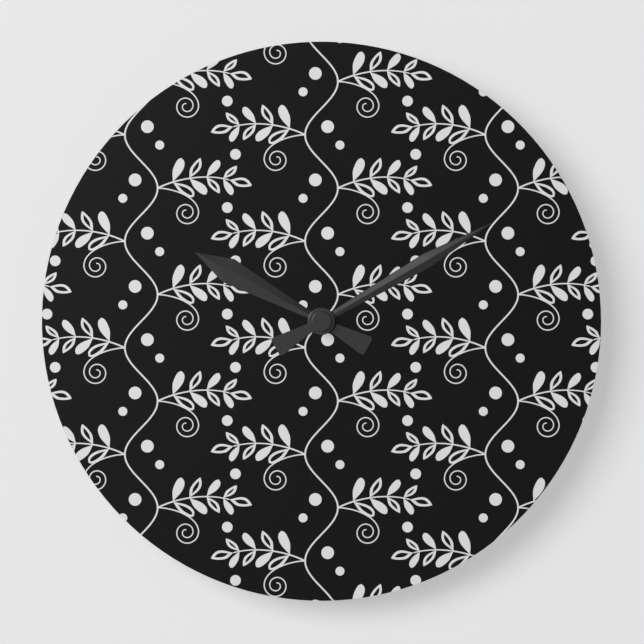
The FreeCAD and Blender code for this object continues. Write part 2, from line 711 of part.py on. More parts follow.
def make_contacts():
    """Both contacts run to the circuit board as strips along the case walls."""
    leaf_low = f"({BATTERY_Z} - {size('contact_width')} / 2)"
    leaf_high = f"({BATTERY_Z} + {size('contact_width')} / 2)"
    leaf_front = f"({BATTERY_DEPTH} + {size('contact_half_length')})"
    positive_back = f"({leaf_front} - {size('strip_width')})"
    negative_back = f"({leaf_front} + {size('strip_gap')})"
    negative_front = f"({negative_back} + {size('strip_width')})"
    board_low = f"({BOARD_Z} - {size('board_height')} / 2 + {size('strip_gap')})"
    positive_high = f"({board_low} + {size('strip_width')})"
    negative_low = f"({positive_high} + {size('strip_width')})"
    negative_high = f"({negative_low} + {size('strip_width')})"

    positive = make_contact("contact_positive", "-1")
    wall_strip(positive, "rise", "-1", leaf_low, positive_high, positive_back, leaf_front)
    wall_strip(positive, "tab", "-1", board_low, positive_high, size("board_depth"), leaf_front)

    negative = make_contact("contact_negative", "1")
    floor_z = f"(-{INNER_Z})"
    wall_strip(negative, "drop", "1", floor_z, leaf_high, positive_back, negative_front)
    pad_box(negative, "run", f"(2 * {INNER_X})", size("contact_thickness"), negative_back, negative_front,
            z=f"(-({INNER_Z} - {size('contact_thickness')} / 2))")
    wall_strip(negative, "rise", "-1", floor_z, negative_high, negative_back, negative_front)
    wall_strip(negative, "tab", "-1", negative_low, negative_high, size("board_depth"), negative_front)


# ---------------------------------------------------------------- circuit board and stepping motor
def make_board():
    board = new_body("circuit_board")
    pad_box(board, "laminate", size("board_width"), size("board_height"), size("board_depth"),
            BOARD_FRONT, BOARD_X, BOARD_Z)
    for number, (x, z) in enumerate(board_posts(), start=1):
        cut_disc(board, f"hole_{number}", f"({size('stake_radius')} + {size('fit_gap')})", x=x, z=z)
    # the driver chip under a drop of epoxy, domed by a large chamfer
    chip = new_body("driver_chip", BOARD_X, BOARD_Z)
    chip_radius = f"({size('chip_diameter')} / 2)"
    chip_front = shift(BOARD_FRONT, size("chip_height"))
    pad_disc(chip, "epoxy", chip_radius, BOARD_FRONT, chip_front)
    round_edges("PartDesign::Chamfer", chip, f"({size('chip_height')} / 2)",
                on_rim(chip_radius, chip_front))
    # the quartz crystal's can lies along the top of the board
    crystal = new_body("quartz_crystal")
    crystal_radius = f"({size('crystal_diameter')} / 2)"
    can = new_sketch(crystal, "can", f"-({BOARD_FRONT} + {crystal_radius} + {size('fit_gap')})",
                     f"({BOARD_Z} + {size('board_height')} / 2 - {size('crystal_diameter')})",
                     f"({BOARD_X} - {size('crystal_length')} / 2)", "YZ_Plane")
    draw_circle(can, crystal_radius)
    pad(crystal, can, size("crystal_length"))


def make_stator():
    stator = new_body("stator_plate")
    bar = f"(2 * {ARM_OFFSET} + {size('stator_arm_width')})"
    pad_box(stator, "bar", bar, size("stator_bar_height"), STATOR_DEPTH, CORE_DEPTH, ROTOR_X, ROTOR_Z)
    arm_low = ROTOR_Z
    arm_high = f"({COIL_Z} + {size('stator_arm_width')} / 2)"
    for number, (x, z) in enumerate(core_posts(), start=1):
        pad_box(stator, f"arm_{number}", size("stator_arm_width"), f"({arm_high} - {arm_low})",
                STATOR_DEPTH, CORE_DEPTH, x, f"(({arm_high} + {arm_low}) / 2)")
    pad_disc(stator, "lobe", size("stator_lobe_radius"), STATOR_DEPTH, CORE_DEPTH, ROTOR_X, ROTOR_Z)
    cut_disc(stator, "rotor_hole", size("stator_hole_radius"), x=ROTOR_X, z=ROTOR_Z)
    for number, (x, z) in enumerate(core_posts(), start=1):
        cut_disc(stator, f"hole_{number}", f"({size('stake_radius')} + {size('fit_gap')})", x=x, z=z)

    core = new_body("coil_core")
    pad_box(core, "bar", bar, size("stator_arm_width"), CORE_DEPTH, CORE_FRONT, ROTOR_X, COIL_Z)
    for number, (x, z) in enumerate(core_posts(), start=1):
        cut_disc(core, f"hole_{number}", f"({size('stake_radius')} + {size('fit_gap')})", x=x, z=z)


def make_coil():
    """Bobbin and winding around the core, along X."""
    depth = f"-({CORE_DEPTH} + {size('stator_thickness')} / 2)"
    slot_depth = f"({size('stator_thickness')} + 2 * {size('fit_gap')})"
    slot_height = f"({size('stator_arm_width')} + 2 * {size('fit_gap')})"
    tube_depth = f"({slot_depth} + 2 * {size('bobbin_wall')})"
    tube_height = f"({slot_height} + 2 * {size('bobbin_wall')})"
    start = f"({ROTOR_X} - {COIL_END})"
    flange = size("coil_flange_thickness")
    winding_start = f"({start} + {flange})"
    winding_length = f"({size('coil_length')} - 2 * {flange})"

    bobbin = new_body("coil_bobbin")
    tube = new_sketch(bobbin, "tube", depth, COIL_Z, start, "YZ_Plane")
    draw_box(tube, tube_depth, tube_height)
    pad(bobbin, tube, size("coil_length"))
    far = f"({start} + {size('coil_length')} - {flange})"
    for name, place in (("left_flange", start), ("right_flange", far)):
        disc = new_sketch(bobbin, name, depth, COIL_Z, place, "YZ_Plane")
        draw_circle(disc, size("coil_flange_radius"))
        pad(bobbin, disc, flange)
    slot = new_sketch(bobbin, "slot", depth, COIL_Z, "0", "YZ_Plane")
    draw_box(slot, slot_depth, slot_height)
    pocket(bobbin, slot)

    winding = new_body("coil_winding")
    wire = new_sketch(winding, "wire", depth, COIL_Z, winding_start, "YZ_Plane")
    draw_circle(wire, size("coil_radius"))
    pad(winding, wire, winding_length)
    centre = new_sketch(winding, "centre", depth, COIL_Z, "0", "YZ_Plane")
    draw_box(centre, tube_depth, tube_height)
    pocket(winding, centre)


# ---------------------------------------------------------------- bridge plate and wheels
def make_bridge():
    bridge = new_body("bridge_plate")
    left = f"({PILLARS[0][0]} - {size('pillar_radius')})"
    right = f"({PILLARS[3][0]} + {size('pillar_radius')})"
    low = f"({DIVIDER_Z} + {size('divider_thickness')} / 2 + {size('loose_gap')})"
    high = f"({ROTOR_Z} + 2 * {size('pillar_radius')})"
    pad_box(bridge, "plate", f"({right} - {left})", f"({high} - {low})",
            size("bridge_depth"), BRIDGE_FRONT,
            x=f"(({right} + {left}) / 2)", z=f"(({high} + {low}) / 2)")
    for number, (x, z) in enumerate(PILLARS, start=1):
        cut_disc(bridge, f"stake_hole_{number}", f"({size('stake_radius')} + {size('fit_gap')})", x=x, z=z)
    for name, x, z in (("centre", "0", "0"), ("third", THIRD_X, THIRD_Z),
                       ("fifth", FIFTH_X, FIFTH_Z), ("rotor", ROTOR_X, ROTOR_Z)):
        cut_disc(bridge, name + "_pivot", PIVOT_BORE, x=x, z=z)
    cut_disc(bridge, "knob_bearing", f"({size('knob_shaft_radius')} + {size('fit_gap')})",
             x=KNOB_X, z=KNOB_Z)


def rear_pivot(body):
    """Rear pivot in the bridge plate, with the shoulder that it runs against."""
    shoulder = shift(BRIDGE_FRONT, size("pivot_end_gap"))
    pad_disc(body, "rear_pivot", size("pivot_radius"), size("bridge_depth"), shoulder)
    return shoulder


def front_pivot(body, boss_back):
    """Front pivot that runs in a boss of the case, with its shoulder just behind the boss."""
    shoulder = f"({boss_back} - {size('pivot_end_gap')})"
    length = f"({size('pivot_length')} + {size('pivot_end_gap')})"
    pad_disc(body, "front_pivot", size("pivot_radius"), shoulder, shift(shoulder, length))
    return shoulder


def make_rotor():
    arbor = new_body("rotor_pinion", ROTOR_X, ROTOR_Z, ROTOR_TURN)
    add_pinion(arbor, "leaves", TRAIN_MODULE, "rotor_pinion_teeth", FIFTH_LAYER)
    back = rear_pivot(arbor)
    front = front_pivot(arbor, FRONT_PIVOTS)
    pad_disc(arbor, "arbor", size("arbor_radius"), back, front)
    magnet = new_body("rotor_magnet", ROTOR_X, ROTOR_Z, ROTOR_TURN)
    middle = f"({STATOR_DEPTH} + {size('stator_thickness')} / 2)"
    half = f"({size('magnet_thickness')} / 2)"
    pad_disc(magnet, "ring", size("magnet_radius"), f"({middle} - {half})", f"({middle} + {half})")
    cut_disc(magnet, "bore", size("arbor_radius"))


def make_fifth_wheel():
    wheel = new_body("fifth_wheel", FIFTH_X, FIFTH_Z, FIFTH_TURN)
    add_wheel(wheel, "rim", TRAIN_MODULE, "fifth_wheel_teeth", FIFTH_LAYER)
    add_pinion(wheel, "leaves", TRAIN_MODULE, "fifth_pinion_teeth", SECONDS_LAYER)
    back = rear_pivot(wheel)
    front = front_pivot(wheel, THIRD_LAYER)
    pad_disc(wheel, "arbor", size("arbor_radius"), back, front)


def make_seconds():
    arbor = new_body("seconds_arbor", turn=SECONDS_TURN)
    add_pinion(arbor, "leaves", TRAIN_MODULE, "fourth_pinion_teeth", THIRD_LAYER)
    back = rear_pivot(arbor)
    pad_disc(arbor, "rod", size("seconds_arbor_radius"), back,
             f"({MINUTE_HAND_FRONT} - {size('loose_gap')})")
    wheel = new_body("seconds_wheel", turn=SECONDS_TURN)
    add_wheel(wheel, "rim", TRAIN_MODULE, "seconds_wheel_teeth", SECONDS_LAYER)
    cut_disc(wheel, "bore", size("seconds_arbor_radius"))


def make_third_wheel():
    wheel = new_body("third_wheel", THIRD_X, THIRD_Z, THIRD_TURN)
    add_wheel(wheel, "rim", TRAIN_MODULE, "third_wheel_teeth", THIRD_LAYER)
    add_pinion(wheel, "leaves", CENTRE_MODULE, "third_pinion_teeth", CENTRE_LAYER)
    back = rear_pivot(wheel)
    front = front_pivot(wheel, FRONT_PIVOTS)
    pad_disc(wheel, "arbor", size("arbor_radius"), back, front)


def make_minute_arbor():
    """Pipe with the cannon pinion cut in it; the centre wheel grips the pipe behind the pinion."""
    pipe = new_body("minute_pipe")
    pinion_back = f"({MOTION_LAYER} - {size('pinion_overlap')})"
    pinion_front = f"({MOTION_LAYER} + {size('wheel_thickness')} + {size('pinion_overlap')})"
    add_pinion(pipe, "cannon", MOTION_MODULE, "cannon_pinion_teeth", MOTION_LAYER)
    pad_disc(pipe, "seat", size("minute_pipe_radius"), f"({CENTRE_LAYER} - {size('pinion_overlap')})",
             pinion_back)
    pad_disc(pipe, "pipe", size("minute_pipe_radius"), pinion_front,
             f"({MINUTE_HAND_FRONT} + {size('cap_recess')} / 2)")
    cut_disc(pipe, "bore", MINUTE_BORE)
    wheel = new_body("centre_wheel")
    add_wheel(wheel, "rim", CENTRE_MODULE, "centre_wheel_teeth", CENTRE_LAYER)
    cut_disc(wheel, "bore", size("minute_pipe_radius"))


def make_minute_wheel():
    """Wheel and pinion in one, loose on the fixed post."""
    wheel = new_body("minute_wheel", MOTION_X, MOTION_Z, MOTION_TURN)
    add_wheel(wheel, "rim", MOTION_MODULE, "minute_wheel_teeth", MOTION_LAYER)
    add_pinion(wheel, "leaves", MOTION_MODULE, "minute_pinion_teeth", HOUR_LAYER)
    root = f"({MOTION_MODULE} * ({size('minute_pinion_teeth')} / 2 - {size('pinion_dedendum')}))"
    wheel_front = f"({MOTION_LAYER} + {size('wheel_thickness')})"
    pad_disc(wheel, "neck", root, wheel_front, f"({HOUR_LAYER} - {size('pinion_overlap')})")
    cut_disc(wheel, "bore", f"({size('motion_post_radius')} + {size('fit_gap')})")


def make_hour_wheel():
    """Wheel with the long pipe that carries the hour hand."""
    wheel = new_body("hour_wheel", turn=HOUR_TURN)
    add_wheel(wheel, "rim", MOTION_MODULE, "hour_wheel_teeth", HOUR_LAYER)
    front = f"({HOUR_LAYER} + {size('wheel_thickness')})"
    pad_disc(wheel, "hub", size("hub_radius"), front, f"({FLOOR} - {size('pivot_end_gap')})")
    pad_disc(wheel, "pipe", HOUR_PIPE, f"({FLOOR} - {size('pivot_end_gap')})",
             f"({HOUR_HAND_FRONT} + {size('loose_gap')})")
    cut_disc(wheel, "bore", HOUR_BORE)


def make_setting_knob():
    """Fluted knob recessed in the back, its shaft and the pinion that turns the minute wheel."""
    knob = new_body("setting_knob", KNOB_X, KNOB_Z, KNOB_TURN)
    add_pinion(knob, "leaves", MOTION_MODULE, "knob_pinion_teeth", MOTION_LAYER)
    head_back = size("knob_sink")
    head_front = f"({head_back} + {size('knob_thickness')})"
    pinion_back = f"({MOTION_LAYER} - {size('pinion_overlap')})"
    pinion_front = f"({MOTION_LAYER} + {size('wheel_thickness')} + {size('pinion_overlap')})"
    pad_disc(knob, "shaft", size("knob_shaft_radius"), head_front, pinion_back)
    pad_disc(knob, "front_pivot", size("arbor_radius"), pinion_front,
             f"({FLOOR} - {size('pivot_end_gap')})")
    pad_disc(knob, "head", size("knob_radius"), head_back, head_front)
    flute = new_sketch(knob, "flute", "0", size("knob_radius"), head_front)
    draw_circle(flute, f"({size('knob_clearance')})")
    cut = pocket(knob, flute, size("knob_thickness"))
    flutes = knob.newObject("PartDesign::PolarPattern", "flutes")
    flutes.Originals = [cut]
    flutes.Axis = (origin_feature(knob, "Y_Axis"), [""])
    flutes.Angle = 360
    flutes.setExpression("Occurrences", size("knob_flutes"))
    knob.Tip = flutes
    doc.recompute()


# ---------------------------------------------------------------- hanger, gasket, stem, washer and nut
def make_hanger():
    """Bent strip: clamped round the stem, over the top of the case, then up to a keyhole."""
    hanger = new_body("hanger_plate")
    thickness = size("hanger_thickness")
    over = f"({CASE_Z} + {size('hanger_gap')})"
    tab_front = f"({size('hanger_depth')} + {thickness})"
    profile = (
        (f"-{HANGER_FRONT}", f"-{size('hanger_foot')}"),
        (f"-{HANGER_FRONT}", f"({over} + {thickness})"),
        (f"-{tab_front}", f"({over} + {thickness})"),
        (f"-{tab_front}", size("hanger_top")),
        (f"-{size('hanger_depth')}", size("hanger_top")),
        (f"-{size('hanger_depth')}", over),
        (f"-{CASE_DEPTH}", over),
        (f"-{CASE_DEPTH}", f"-{size('hanger_foot')}"),
    )
    strip = new_sketch(hanger, "strip", "0", "0", f"(-{size('hanger_width')} / 2)", "YZ_Plane")
    draw_outline(strip, profile)
    pad(hanger, strip, size("hanger_width"))
    cut_disc(hanger, "stem_hole", f"({size('stem_radius')} + {size('loose_gap')})",
             CASE_DEPTH, HANGER_FRONT)
    # keyhole: a round hole that passes over the nail's head, and a slot above it
    cut_disc(hanger, "keyhole_round", size("keyhole_radius"), size("hanger_depth"), tab_front,
             z=size("keyhole_height"))
    slot_height = f"({size('keyhole_radius')} + {size('keyhole_slot')} / 2)"
    cut_box(hanger, "keyhole_slot", size("keyhole_slot"), slot_height, size("hanger_depth"), tab_front,
            z=f"({size('keyhole_height')} + {slot_height} / 2)")
    corner = standing_corner(f"({size('hanger_width')} / 2)", size("hanger_top"))
    round_edges("PartDesign::Fillet", hanger, size("hanger_corner"), corner)


def make_clamping():
    """What holds the movement to the dial: gasket behind it, stem through it, washer and nut in front."""
    gasket = new_body("rubber_gasket")
    pad_disc(gasket, "ring", f"({size('gasket_diameter')} / 2)", HANGER_FRONT, DIAL_BACK)
    cut_disc(gasket, "hole", f"({size('stem_radius')} + {size('loose_gap')})")

    stem = new_body("threaded_stem")
    pad_disc(stem, "flange", size("flange_radius"), FLOOR, shift(FLOOR, size("flange_thickness")))
    pad_disc(stem, "rod", size("stem_radius"), shift(FLOOR, size("flange_thickness")), STEM_FRONT)
    cut_disc(stem, "bore", STEM_BORE)
    cut_thread(stem)

    washer = new_body("dial_washer")
    pad_disc(washer, "ring", size("washer_radius"), FILM_FRONT, WASHER_FRONT)
    cut_disc(washer, "hole", f"({size('stem_radius')} + {size('loose_gap')})")

    nut = new_body("fixing_nut")
    corner = f"({size('nut_flats')} / 2 / cos(30))"
    hexagon = new_sketch(nut, "hexagon", "0", "0", WASHER_FRONT)
    draw_outline(hexagon, [(polar_x(corner, str(60 * step)), polar_z(corner, str(60 * step)))
                           for step in range(6)])
    pad(nut, hexagon, size("nut_height"))
    cut_disc(nut, "bore", size("stem_radius"))


def cut_thread(stem):
    """V grooves round the front of the stem, one pitch apart."""
    pitch = size("thread_pitch")
    radius = size("stem_radius")
    half = f"({size('thread_mouth')} / 2)"
    groove = new_sketch(stem, "thread_groove", f"-({STEM_FRONT} - {pitch})", radius, "0", "YZ_Plane")
    draw_outline(groove, ((f"-{half}", size("fit_gap")), (half, size("fit_gap")),
                          ("0", "-" + size("thread_depth"))))
    before = stem.Shape.Volume
    cut = stem.newObject("PartDesign::Groove", "thread_cut")
    cut.Profile = groove
    cut.ReferenceAxis = (origin_feature(stem, "Y_Axis"), [""])
    cut.Angle = 360
    doc.recompute()
    if not cut.Shape.Volume < before:
        raise RuntimeError("threaded_stem: the thread groove cuts nothing")
    thread = stem.newObject("PartDesign::LinearPattern", "thread")
    thread.Originals = [cut]
    thread.Direction = (origin_feature(stem, "Y_Axis"), [""])
    thread.setExpression("Length", f"{pitch} * ({size('thread_turns')} - 1)")
    thread.setExpression("Occurrences", size("thread_turns"))
    stem.Tip = thread
    doc.recompute()


# ---------------------------------------------------------------- hands
def blade_section(hand, name, height, width, ridge):
    """Cross-section of a blade: flat back, low edges and a ridge along the middle."""
    section = new_sketch(hand, name, "0", "0", height, "XY_Plane")
    half = f"({width} / 2)"
    edge = f"-{size('hand_edge')}"
    draw_outline(section, ((f"-{half}", "0"), (half, "0"), (half, edge), ("0", f"-{ridge}"),
                           (f"-{half}", edge)))
    return section


def make_hand(label, kind, back, bore, bearing):
    """Hand that points up before it is turned: ridged blade, flat tail, round hub."""
    hand = new_body(label, turn=bearing)
    hand.setExpression(".Placement.Base.y", f"-{back}")
    width = size(kind + "_hand_width")
    root = blade_section(hand, "root", "0", size(kind + "_hand_root_width"), size("hand_ridge"))
    shoulder = blade_section(hand, "shoulder", size(kind + "_hand_shoulder"), width, size("hand_ridge"))
    point = blade_section(hand, "point", size(kind + "_hand_length"), size("hand_point"),
                          f"({size('hand_edge')} + {size('fit_gap')})")
    blade = hand.newObject("PartDesign::AdditiveLoft", "blade")
    blade.Profile = root
    blade.Sections = [shoulder, point]
    blade.Ruled = True
    doc.recompute()
    tail = new_sketch(hand, "tail", "0", "0", "0")
    neck = f"({size('hand_tail_root_width')} / 2)"
    wide = f"({size('hand_tail_width')} / 2)"
    tip = f"({size('hand_tail_tip_width')} / 2)"
    draw_outline(tail, (("-" + neck, "0"), (neck, "0"), (wide, "-" + size("hand_tail_start")),
                        (tip, "-" + size("hand_tail_end")), ("-" + tip, "-" + size("hand_tail_end")),
                        ("-" + wide, "-" + size("hand_tail_start"))))
    pad(hand, tail, size("hand_edge"))
    pad_disc(hand, "hub", size("hand_hub_radius"), "0", size("hand_hub_height"))
    cut_disc(hand, "bore", bore)


def make_hands():
    make_hand("hour_hand", "hour", HOUR_HAND_BACK, HOUR_PIPE, size("hour_hand_bearing"))
    make_hand("minute_hand", "minute", MINUTE_HAND_BACK, size("minute_pipe_radius"),
              size("minute_hand_bearing"))
    cap = new_body("hand_cap")
    cap_front = shift(MINUTE_HAND_FRONT, size("cap_height"))
    pad_disc(cap, "cap", size("cap_radius"), MINUTE_HAND_FRONT, cap_front)
    round_edges("PartDesign::Fillet", cap, size("cap_edge"), on_rim(size("cap_radius"), cap_front))
    cut_disc(cap, "recess", HOUR_BORE, MINUTE_HAND_FRONT, shift(MINUTE_HAND_FRONT, size("cap_recess")))


# ---------------------------------------------------------------- build, test and export
make_dial()
make_front_case()
make_rear_cover()
make_battery()
make_contacts()
make_board()
make_stator()
make_coil()
make_bridge()
make_rotor()
make_fifth_wheel()
make_seconds()
make_third_wheel()
make_minute_arbor()
make_minute_wheel()
make_hour_wheel()
make_setting_knob()
make_hanger()
make_clamping()
make_hands()

doc.recompute()
faults = [f"{thing.Name}: {thing.State}" for thing in doc.Objects
          if "Invalid" in thing.State or "Error" in thing.State]
for body in bodies:
    if body.Shape.isNull() or not body.Shape.isValid() or len(body.Shape.Solids) != 1:
        faults.append(f"{body.Label}: bad shape")
if faults:
    raise RuntimeError("; ".join(faults))

os.makedirs("parts", exist_ok=True)
for body in bodies:
    body.Shape.exportStep(os.path.join("parts", body.Label + ".step"))
print(len(bodies), "sub-parts written")
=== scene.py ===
import math
import bpy
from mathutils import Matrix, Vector


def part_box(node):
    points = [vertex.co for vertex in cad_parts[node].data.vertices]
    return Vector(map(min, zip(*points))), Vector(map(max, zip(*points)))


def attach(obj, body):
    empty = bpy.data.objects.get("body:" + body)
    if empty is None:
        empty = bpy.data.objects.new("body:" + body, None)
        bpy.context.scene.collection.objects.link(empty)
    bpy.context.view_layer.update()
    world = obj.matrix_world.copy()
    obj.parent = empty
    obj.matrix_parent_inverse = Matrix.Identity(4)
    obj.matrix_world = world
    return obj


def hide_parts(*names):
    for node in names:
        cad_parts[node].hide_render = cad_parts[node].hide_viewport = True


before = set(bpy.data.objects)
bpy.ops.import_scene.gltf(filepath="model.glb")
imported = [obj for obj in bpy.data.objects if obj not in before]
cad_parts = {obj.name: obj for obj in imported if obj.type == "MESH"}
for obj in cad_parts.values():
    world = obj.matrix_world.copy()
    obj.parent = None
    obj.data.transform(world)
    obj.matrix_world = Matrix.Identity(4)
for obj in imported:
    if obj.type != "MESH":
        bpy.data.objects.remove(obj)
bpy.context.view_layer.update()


# ---- Camera: a long portrait lens square to the dial, a little right of and below its middle.
LENS_MM = 200.0
SENSOR_MM = 36.0
VIEW_WIDTH = 0.3144
CAMERA_RIGHT = 0.00025
CAMERA_BELOW = 0.00037
dial_low, dial_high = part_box("printed_face")
camera = bpy.data.objects.new("camera", bpy.data.cameras.new("camera"))
bpy.context.scene.collection.objects.link(camera)
camera.data.lens = LENS_MM
camera.data.sensor_width = SENSOR_MM
camera.data.clip_start = 0.01
camera.data.clip_end = 50.0
camera.location = (CAMERA_RIGHT, dial_low.y - VIEW_WIDTH * LENS_MM / SENSOR_MM, -CAMERA_BELOW)
camera.rotation_euler = (math.radians(90), 0.0, 0.0)
bpy.context.scene.camera = camera
bpy.context.scene.view_settings.view_transform = "Standard"


# ---- Studio: a matt painted wall that the clock hangs on, and a pale floor well below it.
# One wide soft light stands to the left and a little above, so the disc shades the wall to its right.
def linear(colour):
    """Linear RGBA of an sRGB hex colour."""
    parts = [int(colour[i:i + 2], 16) / 255 for i in (1, 3, 5)]
    return [p / 12.92 if p <= 0.04045 else ((p + 0.055) / 1.055) ** 2.4 for p in parts] + [1.0]


def add(tree, kind, given):
    """Adds a node: each name given is one of its inputs, to set or to link, or one of its settings."""
    made = tree.nodes.new(kind)
    for name, value in given.items():
        if isinstance(name, str) and name not in made.inputs:
            setattr(made, name, value)
        elif isinstance(value, bpy.types.Node):
            tree.links.new(value.outputs[0], made.inputs[name])
        elif isinstance(value, bpy.types.NodeSocket):
            tree.links.new(value, made.inputs[name])
        else:
            made.inputs[name].default_value = value
    return made


def new_finish(name, settings):
    """A material with its principled shader set up, and its tree, shader and place in metres."""
    material = bpy.data.materials.new(name)
    material.use_nodes = True
    tree = material.node_tree
    surface = tree.nodes["Principled BSDF"]
    for key, value in settings.items():
        surface.inputs[key].default_value = value
    place = add(tree, "ShaderNodeTexCoord", {}).outputs["Object"]
    return material, tree, surface, place


def new_piece(name, points, faces, material, smooth=False):
    """A mesh object made from points in metres."""
    mesh = bpy.data.meshes.new(name)
    mesh.from_pydata(points, [], faces)
    mesh.update()
    mesh.materials.append(material)
    for face in mesh.polygons:
        face.use_smooth = smooth
    piece = bpy.data.objects.new(name, mesh)
    bpy.context.scene.collection.objects.link(piece)
    return piece


# Wall emulsion, rolled on: flat white with a faint stipple.
wall_paint, tree, surface, place = new_finish("rolled_wall_emulsion", {"Roughness": 0.9,
                                                                      "Specular IOR Level": 0.1})
stipple = add(tree, "ShaderNodeTexNoise", {"Vector": place, "Scale": 1000 / 3.0, "Detail": 3.0})
shade = add(tree, "ShaderNodeMix", {"data_type": "RGBA", 0: stipple, 6: linear("#e6e6e6"),
                                    7: linear("#e9e9e9")})
tree.links.new(shade.outputs[2], surface.inputs["Base Color"])
# An even wash of light on the wall keeps the clock's shadow pale.
surface.inputs["Emission Color"].default_value = linear("#ffffff")
surface.inputs["Emission Strength"].default_value = 0.45
# The wall shows only from its painted side, so the movement can be seen from behind.
side = add(tree, "ShaderNodeNewGeometry", {})
seen = add(tree, "ShaderNodeMixShader", {0: side.outputs["Backfacing"], 1: surface,
                                         2: add(tree, "ShaderNodeBsdfTransparent", {})})
tree.links.new(seen.outputs[0], tree.nodes["Material Output"].inputs["Surface"])
WALL_GAP = 0.0003
wall = new_piece("wall", [(-2.4, WALL_GAP, -1.5), (2.4, WALL_GAP, -1.5), (2.4, WALL_GAP, 1.8),
                          (-2.4, WALL_GAP, 1.8)], [(0, 1, 2, 3)], wall_paint)
wall.visible_shadow = False

# Floor of pale laid vinyl.
floor_vinyl, tree, surface, place = new_finish("pale_floor_vinyl", {"Roughness": 0.6})
fleck = add(tree, "ShaderNodeTexNoise", {"Vector": place, "Scale": 1000 / 12.0, "Detail": 5.0})
shade = add(tree, "ShaderNodeMix", {"data_type": "RGBA", 0: fleck, 6: linear("#dcdad6"),
                                    7: linear("#e4e3e0")})
tree.links.new(shade.outputs[2], surface.inputs["Base Color"])
floor = new_piece("floor", [(-2.4, -3.0, -1.5), (2.4, -3.0, -1.5), (2.4, 2.0, -1.5), (-2.4, 2.0, -1.5)],
                  [(0, 1, 2, 3)], floor_vinyl)
# Light that the floor throws up would leave a shade above the disc, so it is left out.
floor.visible_diffuse = False


def soft_light(name, place, size, watts):
    """Soft box, size wide and high, that points at the middle of the dial."""
    light = bpy.data.lights.new(name, "AREA")
    light.shape = "RECTANGLE"
    light.size, light.size_y = size
    light.energy = watts
    lamp = bpy.data.objects.new(name, light)
    bpy.context.scene.collection.objects.link(lamp)
    lamp.location = place
    lamp.rotation_euler = (Vector((0, 0, 0)) - Vector(place)).to_track_quat("-Z", "Y").to_euler()
    return lamp


key = soft_light("key_light", (-2.2, -3.4, 1.1), (2.8, 2.0), 82.0)
# The fill stands for light from all over the room, so it casts no shadow; it leaves out the wall,
# which has its own wash, and the clear disc, which it would shine through.
fill = soft_light("fill_light", (-2.2, -2.4, 1.0), (1.2, 1.2), 62.0)
fill.data.use_shadow = False
fill.visible_transmission = False
unfilled = bpy.data.collections.new("not_lit_by_fill")
unfilled.objects.link(wall)
unfilled.objects.link(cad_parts["dial_disc"])
for member in unfilled.collection_objects:
    member.light_linking.link_state = "EXCLUDE"
fill.light_linking.receiver_collection = unfilled
soft_light("back_light", (0.8, 2.4, 1.2), (1.6, 1.2), 30.0)

# Pale surroundings, dimmer to the light than to the eye so that blacks stay deep.
world = bpy.data.worlds.new("studio")
bpy.context.scene.world = world
world.use_nodes = True
tree = world.node_tree
tree.nodes.clear()
rays = add(tree, "ShaderNodeLightPath", {})
pale = add(tree, "ShaderNodeBackground", {"Color": linear("#e8e8e8"), "Strength": 1.0})
dim = add(tree, "ShaderNodeBackground", {"Color": linear("#e8e8e8"), "Strength": 0.1})
both = add(tree, "ShaderNodeMixShader", {0: rays.outputs["Is Camera Ray"], 1: dim, 2: pale})
add(tree, "ShaderNodeOutputWorld", {"Surface": both})


# ---- Movement case and snap-on rear cover.
# Injection-moulded black ABS: the tool's spark-eroded texture makes it matt and faintly grainy.
def dress(material, *nodes):
    """Gives CAD nodes a finish."""
    for name in nodes:
        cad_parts[name].data.materials.clear()
        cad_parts[name].data.materials.append(material)


case_abs, tree, surface, place = new_finish("spark_textured_black_abs", {"Specular IOR Level": 0.45})
# The real texture is about 0.1 mm; it is drawn at 0.5 mm so that it shows.
grain = add(tree, "ShaderNodeTexNoise", {"Vector": place, "Scale": 1000 / 0.5, "Detail": 2.0})
flow = add(tree, "ShaderNodeTexNoise", {"Vector": place, "Scale": 1000 / 18.0, "Detail": 2.0})
shade = add(tree, "ShaderNodeMix", {"data_type": "RGBA", 0: flow, 6: linear("#1a1a1b"),
                                    7: linear("#232325")})
gloss = add(tree, "ShaderNodeMapRange", {"Value": grain, "To Min": 0.42, "To Max": 0.62})
relief = add(tree, "ShaderNodeBump", {"Height": grain, "Strength": 0.25, "Distance": 0.00005})
tree.links.new(shade.outputs[2], surface.inputs["Base Color"])
tree.links.new(gloss.outputs[0], surface.inputs["Roughness"])
tree.links.new(relief.outputs[0], surface.inputs["Normal"])
dress(case_abs, "front_case", "rear_cover")


# ---- AA cell: a drawn steel can in a shrunk printed sleeve, its nub and end plates bare.
# The sleeve is a dark body with a copper-coloured band round the positive end.
cell_low, cell_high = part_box("battery_cell")
BAND_MM = 15.0
NUB_MM = 1.0
cell_sleeve, tree, surface, place = new_finish("shrunk_pvc_sleeve_on_steel", {"Coat Weight": 0.3})
across = add(tree, "ShaderNodeSeparateXYZ", {"Vector": place})
band_edge = cell_low.x + BAND_MM / 1000
band = add(tree, "ShaderNodeMath", {"operation": "LESS_THAN", 0: across.outputs["X"], 1: band_edge})
colour = add(tree, "ShaderNodeMix", {"data_type": "RGBA", 0: band, 6: linear("#22262c"),
                                     7: linear("#a8693c")})
